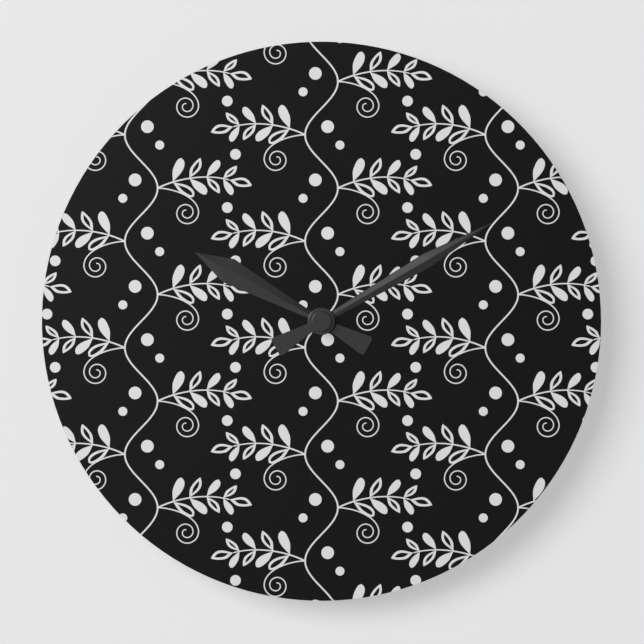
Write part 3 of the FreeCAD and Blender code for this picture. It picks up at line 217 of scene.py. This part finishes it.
# The bare metal is the nub with its step, and the flat of the other end.
nub = add(tree, "ShaderNodeMath", {"operation": "LESS_THAN", 0: across.outputs["X"],
                                   1: cell_low.x + (NUB_MM + 0.02) / 1000})
end = add(tree, "ShaderNodeMath", {"operation": "GREATER_THAN", 0: across.outputs["X"],
                                   1: cell_high.x - 0.02 / 1000})
bare = add(tree, "ShaderNodeMath", {"operation": "MAXIMUM", 0: nub, 1: end})
skin = add(tree, "ShaderNodeMix", {"data_type": "RGBA", 0: bare, 6: colour.outputs[2],
                                   7: linear("#c3c4c4")})
tree.links.new(skin.outputs[2], surface.inputs["Base Color"])
tree.links.new(bare.outputs[0], surface.inputs["Metallic"])
scuff = add(tree, "ShaderNodeTexNoise", {"Vector": place, "Scale": 1000 / 2.5, "Detail": 4.0})
gloss = add(tree, "ShaderNodeMapRange", {"Value": scuff, "To Min": 0.22, "To Max": 0.38})
tree.links.new(gloss.outputs[0], surface.inputs["Roughness"])
dress(cell_sleeve, "battery_cell")


# ---- Battery contacts: nickel-plated spring strip, pressed and folded.
# The plating is bright, with the fine drawn lines of rolled strip.
contact_nickel, tree, surface, place = new_finish("nickel_plated_spring_strip", {"Metallic": 1.0})
lines = add(tree, "ShaderNodeMapping", {"Vector": place, "Scale": (1000 / 4.0, 1000 / 0.3, 1000 / 4.0)})
rolled = add(tree, "ShaderNodeTexNoise", {"Vector": lines, "Scale": 1.0, "Detail": 3.0})
shade = add(tree, "ShaderNodeMix", {"data_type": "RGBA", 0: rolled, 6: linear("#b9b8b2"),
                                    7: linear("#d2d1cb")})
gloss = add(tree, "ShaderNodeMapRange", {"Value": rolled, "To Min": 0.18, "To Max": 0.34})
tree.links.new(shade.outputs[2], surface.inputs["Base Color"])
tree.links.new(gloss.outputs[0], surface.inputs["Roughness"])
dress(contact_nickel, "contact_positive", "contact_negative")


# ---- Circuit board: a small glass-epoxy board under green solder mask.
# The mask is glossy and the weave of the laminate shows faintly through it.
board_mask, tree, surface, place = new_finish("solder_mask_on_glass_epoxy", {"Roughness": 0.28})
weave = add(tree, "ShaderNodeTexChecker", {"Vector": place, "Scale": 1000 / 0.6,
                                           "Color1": linear("#1f5a35"), "Color2": linear("#236340")})
tree.links.new(weave.outputs[0], surface.inputs["Base Color"])
mask_relief = add(tree, "ShaderNodeBump", {"Height": weave.outputs[1], "Strength": 0.15,
                                           "Distance": 0.00003})
tree.links.new(mask_relief.outputs[0], surface.inputs["Normal"])
dress(board_mask, "circuit_board")

# The chip lies under a cast drop of black epoxy, glossy with a slightly uneven skin.
drop_epoxy, tree, surface, place = new_finish("cast_black_epoxy", {"Base Color": linear("#0e0e10")})
skin = add(tree, "ShaderNodeTexNoise", {"Vector": place, "Scale": 1000 / 1.2, "Detail": 2.0})
gloss = add(tree, "ShaderNodeMapRange", {"Value": skin, "To Min": 0.12, "To Max": 0.26})
relief = add(tree, "ShaderNodeBump", {"Height": skin, "Strength": 0.3, "Distance": 0.0001})
tree.links.new(gloss.outputs[0], surface.inputs["Roughness"])
tree.links.new(relief.outputs[0], surface.inputs["Normal"])
dress(drop_epoxy, "driver_chip")

# ---- Quartz crystal can, seconds arbor and hanger: drawn, turned and pressed steel, zinc plated.
# Bright zinc is a cool grey with a soft cloudy sheen and faint rolling lines.
zinc_steel, tree, surface, place = new_finish("zinc_plated_steel", {"Metallic": 1.0})
cloud = add(tree, "ShaderNodeTexNoise", {"Vector": place, "Scale": 1000 / 6.0, "Detail": 3.0})
stretch = add(tree, "ShaderNodeMapping", {"Vector": place, "Scale": (1000 / 0.4, 1000 / 8.0, 1000 / 12.0)})
rolled = add(tree, "ShaderNodeTexNoise", {"Vector": stretch, "Scale": 1.0, "Detail": 2.0})
shade = add(tree, "ShaderNodeMix", {"data_type": "RGBA", 0: cloud, 6: linear("#a3a6aa"),
                                    7: linear("#c2c4c6")})
gloss = add(tree, "ShaderNodeMapRange", {"Value": rolled, "To Min": 0.28, "To Max": 0.46})
relief = add(tree, "ShaderNodeBump", {"Height": rolled, "Strength": 0.12, "Distance": 0.00003})
tree.links.new(shade.outputs[2], surface.inputs["Base Color"])
tree.links.new(gloss.outputs[0], surface.inputs["Roughness"])
tree.links.new(relief.outputs[0], surface.inputs["Normal"])
dress(zinc_steel, "quartz_crystal", "hanger_plate", "seconds_arbor")


# ---- Stepping motor: a stamped soft-iron stator and core, annealed so they are dull and greyish.
iron, tree, surface, place = new_finish("annealed_soft_iron", {"Metallic": 1.0})
scale = add(tree, "ShaderNodeTexNoise", {"Vector": place, "Scale": 1000 / 2.0, "Detail": 5.0})
shade = add(tree, "ShaderNodeMix", {"data_type": "RGBA", 0: scale, 6: linear("#77797c"),
                                    7: linear("#96989a")})
gloss = add(tree, "ShaderNodeMapRange", {"Value": scale, "To Min": 0.42, "To Max": 0.6})
tree.links.new(shade.outputs[2], surface.inputs["Base Color"])
tree.links.new(gloss.outputs[0], surface.inputs["Roughness"])
dress(iron, "stator_plate", "coil_core")

# The coil is enamelled copper wire, wound in even layers on the bobbin. The real wire is
# 0.03 mm; its turns are drawn 0.3 mm wide so that they show.
WIRE_MM = 0.3
wound_copper, tree, surface, place = new_finish("enamelled_copper_winding", {"Metallic": 0.85,
                                                                            "Coat Weight": 0.5})
turns = add(tree, "ShaderNodeTexWave", {"Vector": place, "bands_direction": "X",
                                        "Scale": 1000 / (WIRE_MM * 20.0 / (2 * math.pi)),
                                        "Distortion": 0.4, "Detail": 1.0})
# Each turn's crown is painted lighter and the groove beside the next turn darker: a painted highlight and
# painted shade that follow the relief.
shade = add(tree, "ShaderNodeMix", {"data_type": "RGBA", 0: turns.outputs[1], 6: linear("#8a3f1d"),
                                    7: linear("#c56a36")})
relief = add(tree, "ShaderNodeBump", {"Height": turns.outputs[1], "Strength": 0.6, "Distance": 0.0001})
tree.links.new(shade.outputs[2], surface.inputs["Base Color"])
tree.links.new(relief.outputs[0], surface.inputs["Normal"])
surface.inputs["Roughness"].default_value = 0.32
dress(wound_copper, "coil_winding")

# The bobbin is natural nylon, moulded: an amber, waxy plastic that light enters a little way.
nylon, tree, surface, place = new_finish("natural_moulded_nylon", {"Roughness": 0.4,
                                                                  "Subsurface Weight": 0.15,
                                                                  "Subsurface Scale": 0.0008})
cloud = add(tree, "ShaderNodeTexNoise", {"Vector": place, "Scale": 1000 / 3.0, "Detail": 2.0})
shade = add(tree, "ShaderNodeMix", {"data_type": "RGBA", 0: cloud, 6: linear("#b98d4e"),
                                    7: linear("#cba364")})
tree.links.new(shade.outputs[2], surface.inputs["Base Color"])
dress(nylon, "coil_bobbin")

# The rotor magnet is sintered ferrite: near black, matt and speckled.
ferrite, tree, surface, place = new_finish("sintered_ferrite", {"Roughness": 0.62, "Metallic": 0.25})
speck = add(tree, "ShaderNodeTexVoronoi", {"Vector": place, "Scale": 1000 / 0.25})
shade = add(tree, "ShaderNodeMix", {"data_type": "RGBA", 0: speck.outputs[0], 6: linear("#2c2c2e"),
                                    7: linear("#454547")})
tree.links.new(shade.outputs[2], surface.inputs["Base Color"])
dress(ferrite, "rotor_magnet")


# ---- Bridge plate, wheels, pinions, pipes and the setting knob: natural acetal, moulded.
# Acetal is a milky white plastic with a waxy sheen.
acetal, tree, surface, place = new_finish("natural_moulded_acetal", {"Subsurface Weight": 0.2,
                                                                    "Subsurface Scale": 0.0006})
cloud = add(tree, "ShaderNodeTexNoise", {"Vector": place, "Scale": 1000 / 2.0, "Detail": 3.0})
shade = add(tree, "ShaderNodeMix", {"data_type": "RGBA", 0: cloud, 6: linear("#d9d6cb"),
                                    7: linear("#e8e6dd")})
gloss = add(tree, "ShaderNodeMapRange", {"Value": cloud, "To Min": 0.3, "To Max": 0.42})
tree.links.new(shade.outputs[2], surface.inputs["Base Color"])
tree.links.new(gloss.outputs[0], surface.inputs["Roughness"])
dress(acetal, "bridge_plate", "rotor_pinion", "fifth_wheel", "seconds_wheel", "third_wheel",
      "minute_pipe", "centre_wheel", "minute_wheel", "hour_wheel", "setting_knob")


# ---- Gasket between hanger and disc: a die-cut ring of matt black rubber.
gasket_rubber, tree, surface, place = new_finish("die_cut_rubber", {"Roughness": 0.85,
                                                                   "Specular IOR Level": 0.3})
bloom = add(tree, "ShaderNodeTexNoise", {"Vector": place, "Scale": 1000 / 1.5, "Detail": 6.0})
shade = add(tree, "ShaderNodeMix", {"data_type": "RGBA", 0: bloom, 6: linear("#161616"),
                                    7: linear("#242424")})
relief = add(tree, "ShaderNodeBump", {"Height": bloom, "Strength": 0.2, "Distance": 0.0001})
tree.links.new(shade.outputs[2], surface.inputs["Base Color"])
tree.links.new(relief.outputs[0], surface.inputs["Normal"])
dress(gasket_rubber, "rubber_gasket")


# ---- Dial disc: 5 mm cast acrylic sheet, cut round by laser and left clear.
# The faces are polished; the cut edge keeps fine upright lines that scatter the light.
CUT_LINE_MM = 1.2
acrylic, tree, surface, place = new_finish("laser_cut_clear_acrylic", {"IOR": 1.49,
                                                                      "Transmission Weight": 1.0,
                                                                      "Base Color": linear("#f4f8f7")})
split = add(tree, "ShaderNodeSeparateXYZ", {"Vector": place})
angle = add(tree, "ShaderNodeMath", {"operation": "ARCTAN2", 0: split.outputs["X"], 1: split.outputs["Z"]})
around = add(tree, "ShaderNodeMath", {"operation": "MULTIPLY", 0: angle,
                                      1: dial_high.x * 1000 / CUT_LINE_MM})
line_place = add(tree, "ShaderNodeCombineXYZ", {"X": around})
cut_lines = add(tree, "ShaderNodeTexNoise", {"Vector": line_place, "Scale": 1.0, "Detail": 2.0})
geometry = add(tree, "ShaderNodeNewGeometry", {})
facing = add(tree, "ShaderNodeSeparateXYZ", {"Vector": geometry.outputs["Normal"]})
flat = add(tree, "ShaderNodeMath", {"operation": "ABSOLUTE", 0: facing.outputs["Y"]})
edge = add(tree, "ShaderNodeMath", {"operation": "LESS_THAN", 0: flat, 1: 0.5})
lined = add(tree, "ShaderNodeMath", {"operation": "MULTIPLY", 0: cut_lines, 1: edge})
gloss = add(tree, "ShaderNodeMapRange", {"Value": lined, "To Min": 0.03, "To Max": 0.45})
relief = add(tree, "ShaderNodeBump", {"Height": lined, "Strength": 0.3, "Distance": 0.0001})
tree.links.new(gloss.outputs[0], surface.inputs["Roughness"])
tree.links.new(relief.outputs[0], surface.inputs["Normal"])
dress(acrylic, "dial_disc")


# ---- Print: ultraviolet-cured inks, jetted straight onto the front of the disc.
# The black is dense and faintly satin, and it shows through the clear acrylic from behind.
black_ink, tree, surface, place = new_finish("cured_black_ink", {"Specular IOR Level": 0.22})
dots = add(tree, "ShaderNodeTexNoise", {"Vector": place, "Scale": 1000 / 1.1, "Detail": 3.0})
shade = add(tree, "ShaderNodeMix", {"data_type": "RGBA", 0: dots, 6: linear("#141415"),
                                    7: linear("#19191a")})
gloss = add(tree, "ShaderNodeMapRange", {"Value": dots, "To Min": 0.26, "To Max": 0.36})
relief = add(tree, "ShaderNodeBump", {"Height": dots, "Strength": 0.06, "Distance": 0.00005})
tree.links.new(shade.outputs[2], surface.inputs["Base Color"])
tree.links.new(gloss.outputs[0], surface.inputs["Roughness"])
tree.links.new(relief.outputs[0], surface.inputs["Normal"])
dress(black_ink, "printed_face")

# The white figures stand proud of the black by the thickness of one ink layer.
INK_MM = 0.03
white_ink, tree, surface, place = new_finish("cured_white_ink", {"Specular IOR Level": 0.3})
dots = add(tree, "ShaderNodeTexNoise", {"Vector": place, "Scale": 1000 / 0.8, "Detail": 3.0})
shade = add(tree, "ShaderNodeMix", {"data_type": "RGBA", 0: dots, 6: linear("#eaeaeb"),
                                    7: linear("#f2f2f2")})
gloss = add(tree, "ShaderNodeMapRange", {"Value": dots, "To Min": 0.42, "To Max": 0.55})
tree.links.new(shade.outputs[2], surface.inputs["Base Color"])
tree.links.new(gloss.outputs[0], surface.inputs["Roughness"])

# The design is a plain repeat: waving vines with paired leaves, curls and spots, in millimetres, z up.
ink_points = []
ink_faces = []


def ink_strip(left, right):
    """Fills between two lines of the same number of points."""
    first = len(ink_points)
    for a, b in zip(left, right):
        ink_points.append(a)
        ink_points.append(b)
    for i in range(len(left) - 1):
        corner = first + 2 * i
        ink_faces.append((corner, corner + 1, corner + 3, corner + 2))


def bezier(a, b, c, d, count=22):
    """Points along a cubic curve."""
    points = []
    for i in range(count + 1):
        t = i / count
        s = 1 - t
        points.append(tuple(s * s * s * a[k] + 3 * s * s * t * b[k]
                            + 3 * s * t * t * c[k] + t * t * t * d[k] for k in (0, 1)))
    return points


def stroke(points, start_width, end_width):
    """A drawn line that tapers from one width to another."""
    left = []
    right = []
    last = len(points) - 1
    for i, (x, z) in enumerate(points):
        before = points[max(i - 1, 0)]
        after = points[min(i + 1, last)]
        run = (after[0] - before[0], after[1] - before[1])
        length = math.hypot(*run)
        half = (start_width + (end_width - start_width) * i / last) / 2
        side = (-run[1] / length * half, run[0] / length * half)
        left.append((x + side[0], z + side[1]))
        right.append((x - side[0], z - side[1]))
    ink_strip(left, right)


LEAF_STEPS = 18
LEAF_STROKE = 1.25
LEAF_BEND = 0.03
POINTED_BELOW = 12.5


def leaf_edge(u, fuller, pointed):
    """Half width of one side of a leaf, as a share of its fullest, u of the way from base to tip."""
    widest = 0.6 + 0.1 * fuller - 0.08 * pointed
    if u < widest:
        return math.sin(math.pi / 2 * (u / widest) ** 1.12) ** 1.1
    past = (u - widest) / (1 - widest)
    return (1 - past ** (2.4 - 0.5 * pointed)) ** (0.56 + 0.34 * pointed)


def leaf(base, heading, length, width, hollow, lean):
    """One leaf, filled or outlined; heading in degrees from +X, lean says which side is fuller."""
    along = (math.cos(math.radians(heading)), math.sin(math.radians(heading)))
    pointed = 1 if hollow and length < POINTED_BELOW else 0

    def edge(side, start, end, half):
        line = []
        for i in range(LEAF_STEPS + 1):
            u = i / LEAF_STEPS
            reach = (start + (end - start) * u) * length
            bend = LEAF_BEND * lean * length * math.sin(math.pi * (start + (end - start) * u))
            out = side * half * leaf_edge(u, side * lean, pointed) + bend
            line.append((base[0] + along[0] * reach - along[1] * out,
                         base[1] + along[1] * reach + along[0] * out))
        return line

    outer = [edge(side, 0.0, 1.0, width / 2) for side in (1, -1)]
    if hollow:
        inner_end = 1 - (0.85 + 0.7 * pointed) * LEAF_STROKE / length
        inner = [edge(side, 0.2, inner_end, width / 2 - LEAF_STROKE) for side in (1, -1)]
        ink_strip(outer[0], inner[0])
        ink_strip(outer[1], inner[1])
    else:
        ink_strip(outer[0], outer[1])


def dot(x, z, across):
    """A round spot."""
    steps = 36
    for small, large in ((0.0, 0.5), (0.5, 1.0)):
        rings = [[(x + across / 2 * r * math.cos(2 * math.pi * i / steps),
                   z + across / 2 * r * math.sin(2 * math.pi * i / steps)) for i in range(steps + 1)]
                 for r in (small, large)]
        ink_strip(*rings)


VINE_WIDTH = 0.8
STEM_WIDTHS = (0.78, 0.55)
CURL_WIDTHS = (0.62, 0.52)
LEAF_PAIRS = 4
# Points along the stem from its root to the first pair, and between pairs.
LEAF_STEP = 5
LEAF_TURN = 52.0
LEAF_SHAPE = 0.38
LONGEST_LEAF = 12.5
LEAF_SHRINK = 1.1
CURL_MIDDLE = (14.0, -12.0)
CURL_REACH = 6.0
CURL_END = 1.2
CURL_TURNS = 1.75


def heading_at(points, i):
    """Direction of a line, in degrees, where it reaches one of its points."""
    return math.degrees(math.atan2(points[i][1] - points[i - 1][1], points[i][0] - points[i - 1][0]))


def spray():
    """A leafy stem that grows right from (0, 0), with even pairs of leaves that shrink to its tip."""
    stem = bezier((0, 0), (10, 5), (24, 7), (35, 4))
    stroke(stem, *STEM_WIDTHS)
    for pair in range(LEAF_PAIRS):
        at = LEAF_STEP + LEAF_STEP * pair
        length = LONGEST_LEAF - LEAF_SHRINK * pair
        for side in (1, -1):
            outlined = (pair + (side > 0)) % 2 == 0
            heading = heading_at(stem, at) + side * LEAF_TURN
            leaf(stem[at], heading, length, LEAF_SHAPE * length, outlined, -side)
    tip_length = LONGEST_LEAF - LEAF_SHRINK
    leaf(stem[-1], heading_at(stem, -1), tip_length, LEAF_SHAPE * LONGEST_LEAF, True, 1)


def curl():
    """A tendril that leaves (0, 0) to the right and rolls up."""
    middle_x, middle_z = CURL_MIDDLE
    line = bezier((0, 0), (7, 0), (middle_x + CURL_REACH, -4.0), (middle_x + CURL_REACH, middle_z))
    steps = 64
    for i in range(1, steps + 1):
        turned = 2 * math.pi * CURL_TURNS * i / steps
        reach = CURL_REACH + (CURL_END - CURL_REACH) * i / steps
        line.append((middle_x + reach * math.cos(turned), middle_z - reach * math.sin(turned)))
    stroke(line, *CURL_WIDTHS)


def put(draw, x, z, mirror=1):
    """Draws something with its origin at a place, mirrored left to right if asked."""
    first = len(ink_points)
    draw()
    for i in range(first, len(ink_points)):
        ink_points[i] = (x + mirror * ink_points[i][0], z + ink_points[i][1])


REPEAT = 52.0
COLUMN_GAP = 88.0
SWAY = 8.0
WAVE_STEPS = 40


def vine():
    """One repeat of a vine: a wave down from (0, 0)."""
    stroke([(SWAY * math.sin(2 * math.pi * i / WAVE_STEPS), -REPEAT * i / WAVE_STEPS)
            for i in range(WAVE_STEPS + 1)], VINE_WIDTH, VINE_WIDTH)


# Spots sit beside each crest of the wave: distance from it across and up, and width.
SPOTS = ((-11.0, 4.0, 6.2), (-17.0, -5.0, 4.4), (34.0, -9.5, 5.2))
for column in range(-2, 3):
    for row in range(-3, 4):
        top = REPEAT * (row + 0.5)
        put(vine, COLUMN_GAP * column, top)
        for side in (1, -1):
            crest_x = COLUMN_GAP * column + side * SWAY
            crest_z = top - REPEAT * (0.5 - 0.25 * side)
            put(spray, crest_x, crest_z, side)
            put(curl, crest_x, crest_z, side)
            for out, above, across in SPOTS:
                put(lambda: dot(side * out, above, across), crest_x, crest_z)

# The print stops at the rim of the disc and at the washer: what crosses either is pulled back to it.
rim_mm = dial_high.x * 1000 - 0.05
washer_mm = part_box("dial_washer")[1].x * 1000 - 0.2
kept_faces = []
for face in ink_faces:
    reaches = [math.hypot(*ink_points[i]) for i in face]
    if min(reaches) < rim_mm and max(reaches) > washer_mm:
        kept_faces.append(face)
used = sorted({i for face in kept_faces for i in face})
index = {old: new for new, old in enumerate(used)}
ink_front = dial_low.y - INK_MM / 1000
placed = []
for i in used:
    x, z = ink_points[i]
    reach = max(math.hypot(x, z), 1e-6)
    pulled = min(max(reach, washer_mm), rim_mm) / reach
    placed.append((x * pulled / 1000, ink_front, z * pulled / 1000))
foliage = new_piece("printed_foliage", placed, [tuple(index[i] for i in face) for face in kept_faces],
                    white_ink)
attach(foliage, "clock_frame")


# ---- Threaded stem, washer and hexagon nut: turned brass, which clamp the disc to the case.
# Turning leaves fine rings that catch the light.
RING_MM = 0.35
brass, tree, surface, place = new_finish("turned_brass", {"Metallic": 1.0})
split = add(tree, "ShaderNodeSeparateXYZ", {"Vector": place})
flat_place = add(tree, "ShaderNodeCombineXYZ", {"X": split.outputs["X"], "Y": split.outputs["Z"]})
reach = add(tree, "ShaderNodeVectorMath", {"operation": "LENGTH", 0: flat_place})
ring_place = add(tree, "ShaderNodeCombineXYZ", {"X": reach.outputs["Value"]})
rings = add(tree, "ShaderNodeTexNoise", {"Vector": ring_place, "Scale": 1000 / RING_MM, "Detail": 1.0})
tarnish = add(tree, "ShaderNodeTexNoise", {"Vector": place, "Scale": 1000 / 3.0, "Detail": 3.0})
shade = add(tree, "ShaderNodeMix", {"data_type": "RGBA", 0: tarnish, 6: linear("#b8924a"),
                                    7: linear("#cfae66")})
gloss = add(tree, "ShaderNodeMapRange", {"Value": rings, "To Min": 0.18, "To Max": 0.36})
relief = add(tree, "ShaderNodeBump", {"Height": rings, "Strength": 0.2, "Distance": 0.00005})
tree.links.new(shade.outputs[2], surface.inputs["Base Color"])
tree.links.new(gloss.outputs[0], surface.inputs["Roughness"])
tree.links.new(relief.outputs[0], surface.inputs["Normal"])
dress(brass, "threaded_stem", "dial_washer", "fixing_nut")


# ---- Hands: coined aluminium with a ridge along the blade, under satin charcoal lacquer.
# The lacquer is a soft grey that lights up slightly on the facet that faces the light.
lacquer, tree, surface, place = new_finish("satin_charcoal_lacquer", {"Specular IOR Level": 0.5})
fleck = add(tree, "ShaderNodeTexNoise", {"Vector": place, "Scale": 1000 / 0.7, "Detail": 3.0})
shade = add(tree, "ShaderNodeMix", {"data_type": "RGBA", 0: fleck, 6: linear("#2c2c2c"),
                                    7: linear("#323232")})
gloss = add(tree, "ShaderNodeMapRange", {"Value": fleck, "To Min": 0.36, "To Max": 0.46})
relief = add(tree, "ShaderNodeBump", {"Height": fleck, "Strength": 0.05, "Distance": 0.00005})
tree.links.new(shade.outputs[2], surface.inputs["Base Color"])
tree.links.new(gloss.outputs[0], surface.inputs["Roughness"])
tree.links.new(relief.outputs[0], surface.inputs["Normal"])
dress(lacquer, "hand_cap")

HUB_MM = 6.6
HUB_HEIGHT = 1.55
EDGE_MM = 0.4
RIDGE_MM = 1.4
BEVEL_MM = 0.3
FILLET_MM = 1.2
TAIL_MM = 25.85
TAIL_CORNER_MM = 1.6
POINT_MM = 0.15
FLARE_MM = 0.6
RIM_MM = 0.3
TAIL_ROOT_MM = 1.4
TAIL_SPREAD = 0.146


def half_width(s, root, shoulder, width, tip):
    """Half width of a hand at s mm from its axis; behind the axis s is negative."""
    if s < 0:
        half = TAIL_ROOT_MM - TAIL_SPREAD * s
        into_corner = max(0.0, -s - (TAIL_MM - TAIL_CORNER_MM))
        half += math.sqrt(max(0.0, TAIL_CORNER_MM ** 2 - into_corner ** 2)) - TAIL_CORNER_MM
    elif s < shoulder:
        half = root + (width / 2 - root) * s / shoulder
    else:
        half = POINT_MM + (width / 2 - POINT_MM) * (tip - s) / (tip - shoulder)
    # a small hollow fillet blends the blade into the hub
    into_hub = max(0.0, 1 - max(0.0, abs(s) - HUB_MM + FLARE_MM) / FILLET_MM)
    return half + FLARE_MM * into_hub ** 2


def front_height(s, t, half, behind):
    """Height of a hand's front above its back, t mm from its middle line."""
    crown = 0.0 if behind else (RIDGE_MM - EDGE_MM) * min(1.0, half / 2.2)
    height = EDGE_MM + crown * (1 - abs(t) / max(half, 0.01))
    climb = max(0.0, 1 - max(0.0, math.hypot(s, t) - HUB_MM) / FILLET_MM)
    return height + (HUB_HEIGHT - RIM_MM - height) * climb ** 3


def hand_mesh(name, node, body, bearing, root, shoulder, width, tip, bore):
    """A hand: a facet each side of a ridge, bevelled edges, side walls, a flat back and a flat tail."""
    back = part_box(node)[1].y * 1000
    turn = math.radians(bearing)
    stations = [-TAIL_MM + reach for reach in (0.0, 0.03, 0.12, 0.3, 0.6, TAIL_CORNER_MM, 4.0, 9.0, 14.0)]
    stations += [-9.0 + 0.3 * i for i in range(61)]
    stations += [12.0, 16.0, 24.0, 34.0, 44.0, shoulder - 1.0, shoulder - 0.4, shoulder, shoulder + 0.4,
                 shoulder + 1.0, (shoulder + tip) / 2, tip - 4.0, tip - 1.0, tip]
    shares = [-1.0, -0.8, -0.6, -0.4, -0.2, -0.03, 0.03, 0.2, 0.4, 0.6, 0.8, 1.0]
    points = []
    faces = []

    def place(s, t, height):
        return ((s * math.sin(turn) + t * math.cos(turn)) / 1000, (back - height) / 1000,
                (s * math.cos(turn) - t * math.sin(turn)) / 1000)

    across = len(shares) + 2
    for s in stations:
        half = half_width(s, root, shoulder, width, tip)
        inner = half - min(BEVEL_MM, half / 3)
        offsets = [-half] + [inner * share for share in shares] + [half]
        for t in offsets:
            drop = EDGE_MM / 2 if abs(t) == half else 0.0
            points.append(place(s, t, front_height(s, t, half, s < 0) - drop))
        for t in offsets:
            points.append(place(s, t, 0.0))
    ring = 2 * across
    for i in range(len(stations) - 1):
        here = i * ring
        there = here + ring
        for j in range(across - 1):
            faces.append((here + j, here + j + 1, there + j + 1, there + j))
            faces.append((here + across + j, there + across + j,
                          there + across + j + 1, here + across + j + 1))
        faces.append((here, there, there + across, here + across))
        faces.append((here + across - 1, here + ring - 1, there + ring - 1, there + across - 1))
    last = (len(stations) - 1) * ring
    for j in range(across - 1):
        faces.append((j, across + j, across + j + 1, j + 1))
        faces.append((last + j, last + j + 1, last + across + j + 1, last + across + j))
    blade = new_piece(name, points, faces, lacquer)
    # the hub is a ring with a bevelled front rim, riveted into the blade
    profile = ((bore, 0.0), (HUB_MM, 0.0), (HUB_MM, HUB_HEIGHT - RIM_MM), (HUB_MM - 0.1, HUB_HEIGHT - 0.12),
               (HUB_MM - 0.35, HUB_HEIGHT), (bore, HUB_HEIGHT))
    corners = len(profile)
    steps = 96
    points = []
    faces = []
    for i in range(steps):
        angle = 2 * math.pi * i / steps
        for radius, height in profile:
            points.append(place(radius * math.cos(angle), radius * math.sin(angle), height))
        here = i * corners
        there = (i + 1) % steps * corners
        for j in range(corners):
            k = (j + 1) % corners
            faces.append((here + j, here + k, there + k, there + j))
    hub = new_piece(name + "_hub", points, faces, lacquer)
    for piece in (blade, hub):
        piece.data.shade_smooth()
        piece.data.set_sharp_from_angle(angle=math.radians(14))
        unshading.objects.link(piece)
        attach(piece, body)
    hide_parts(node)


# The hands are left out of the key light's shadows, to keep the print evenly lit.
unshading = bpy.data.collections.new("cast_no_key_shadow")
hand_mesh("hour_hand_blade", "hour_hand", "hour_arbor", -61.4, 1.2, 51.7, 12.6, 70.0, 2.6)
hand_mesh("minute_hand_blade", "minute_hand", "minute_arbor", 60.0, 1.55, 59.6, 7.4, 95.2, 1.75)
for member in unshading.collection_objects:
    member.light_linking.link_state = "EXCLUDE"
key.light_linking.blocker_collection = unshading
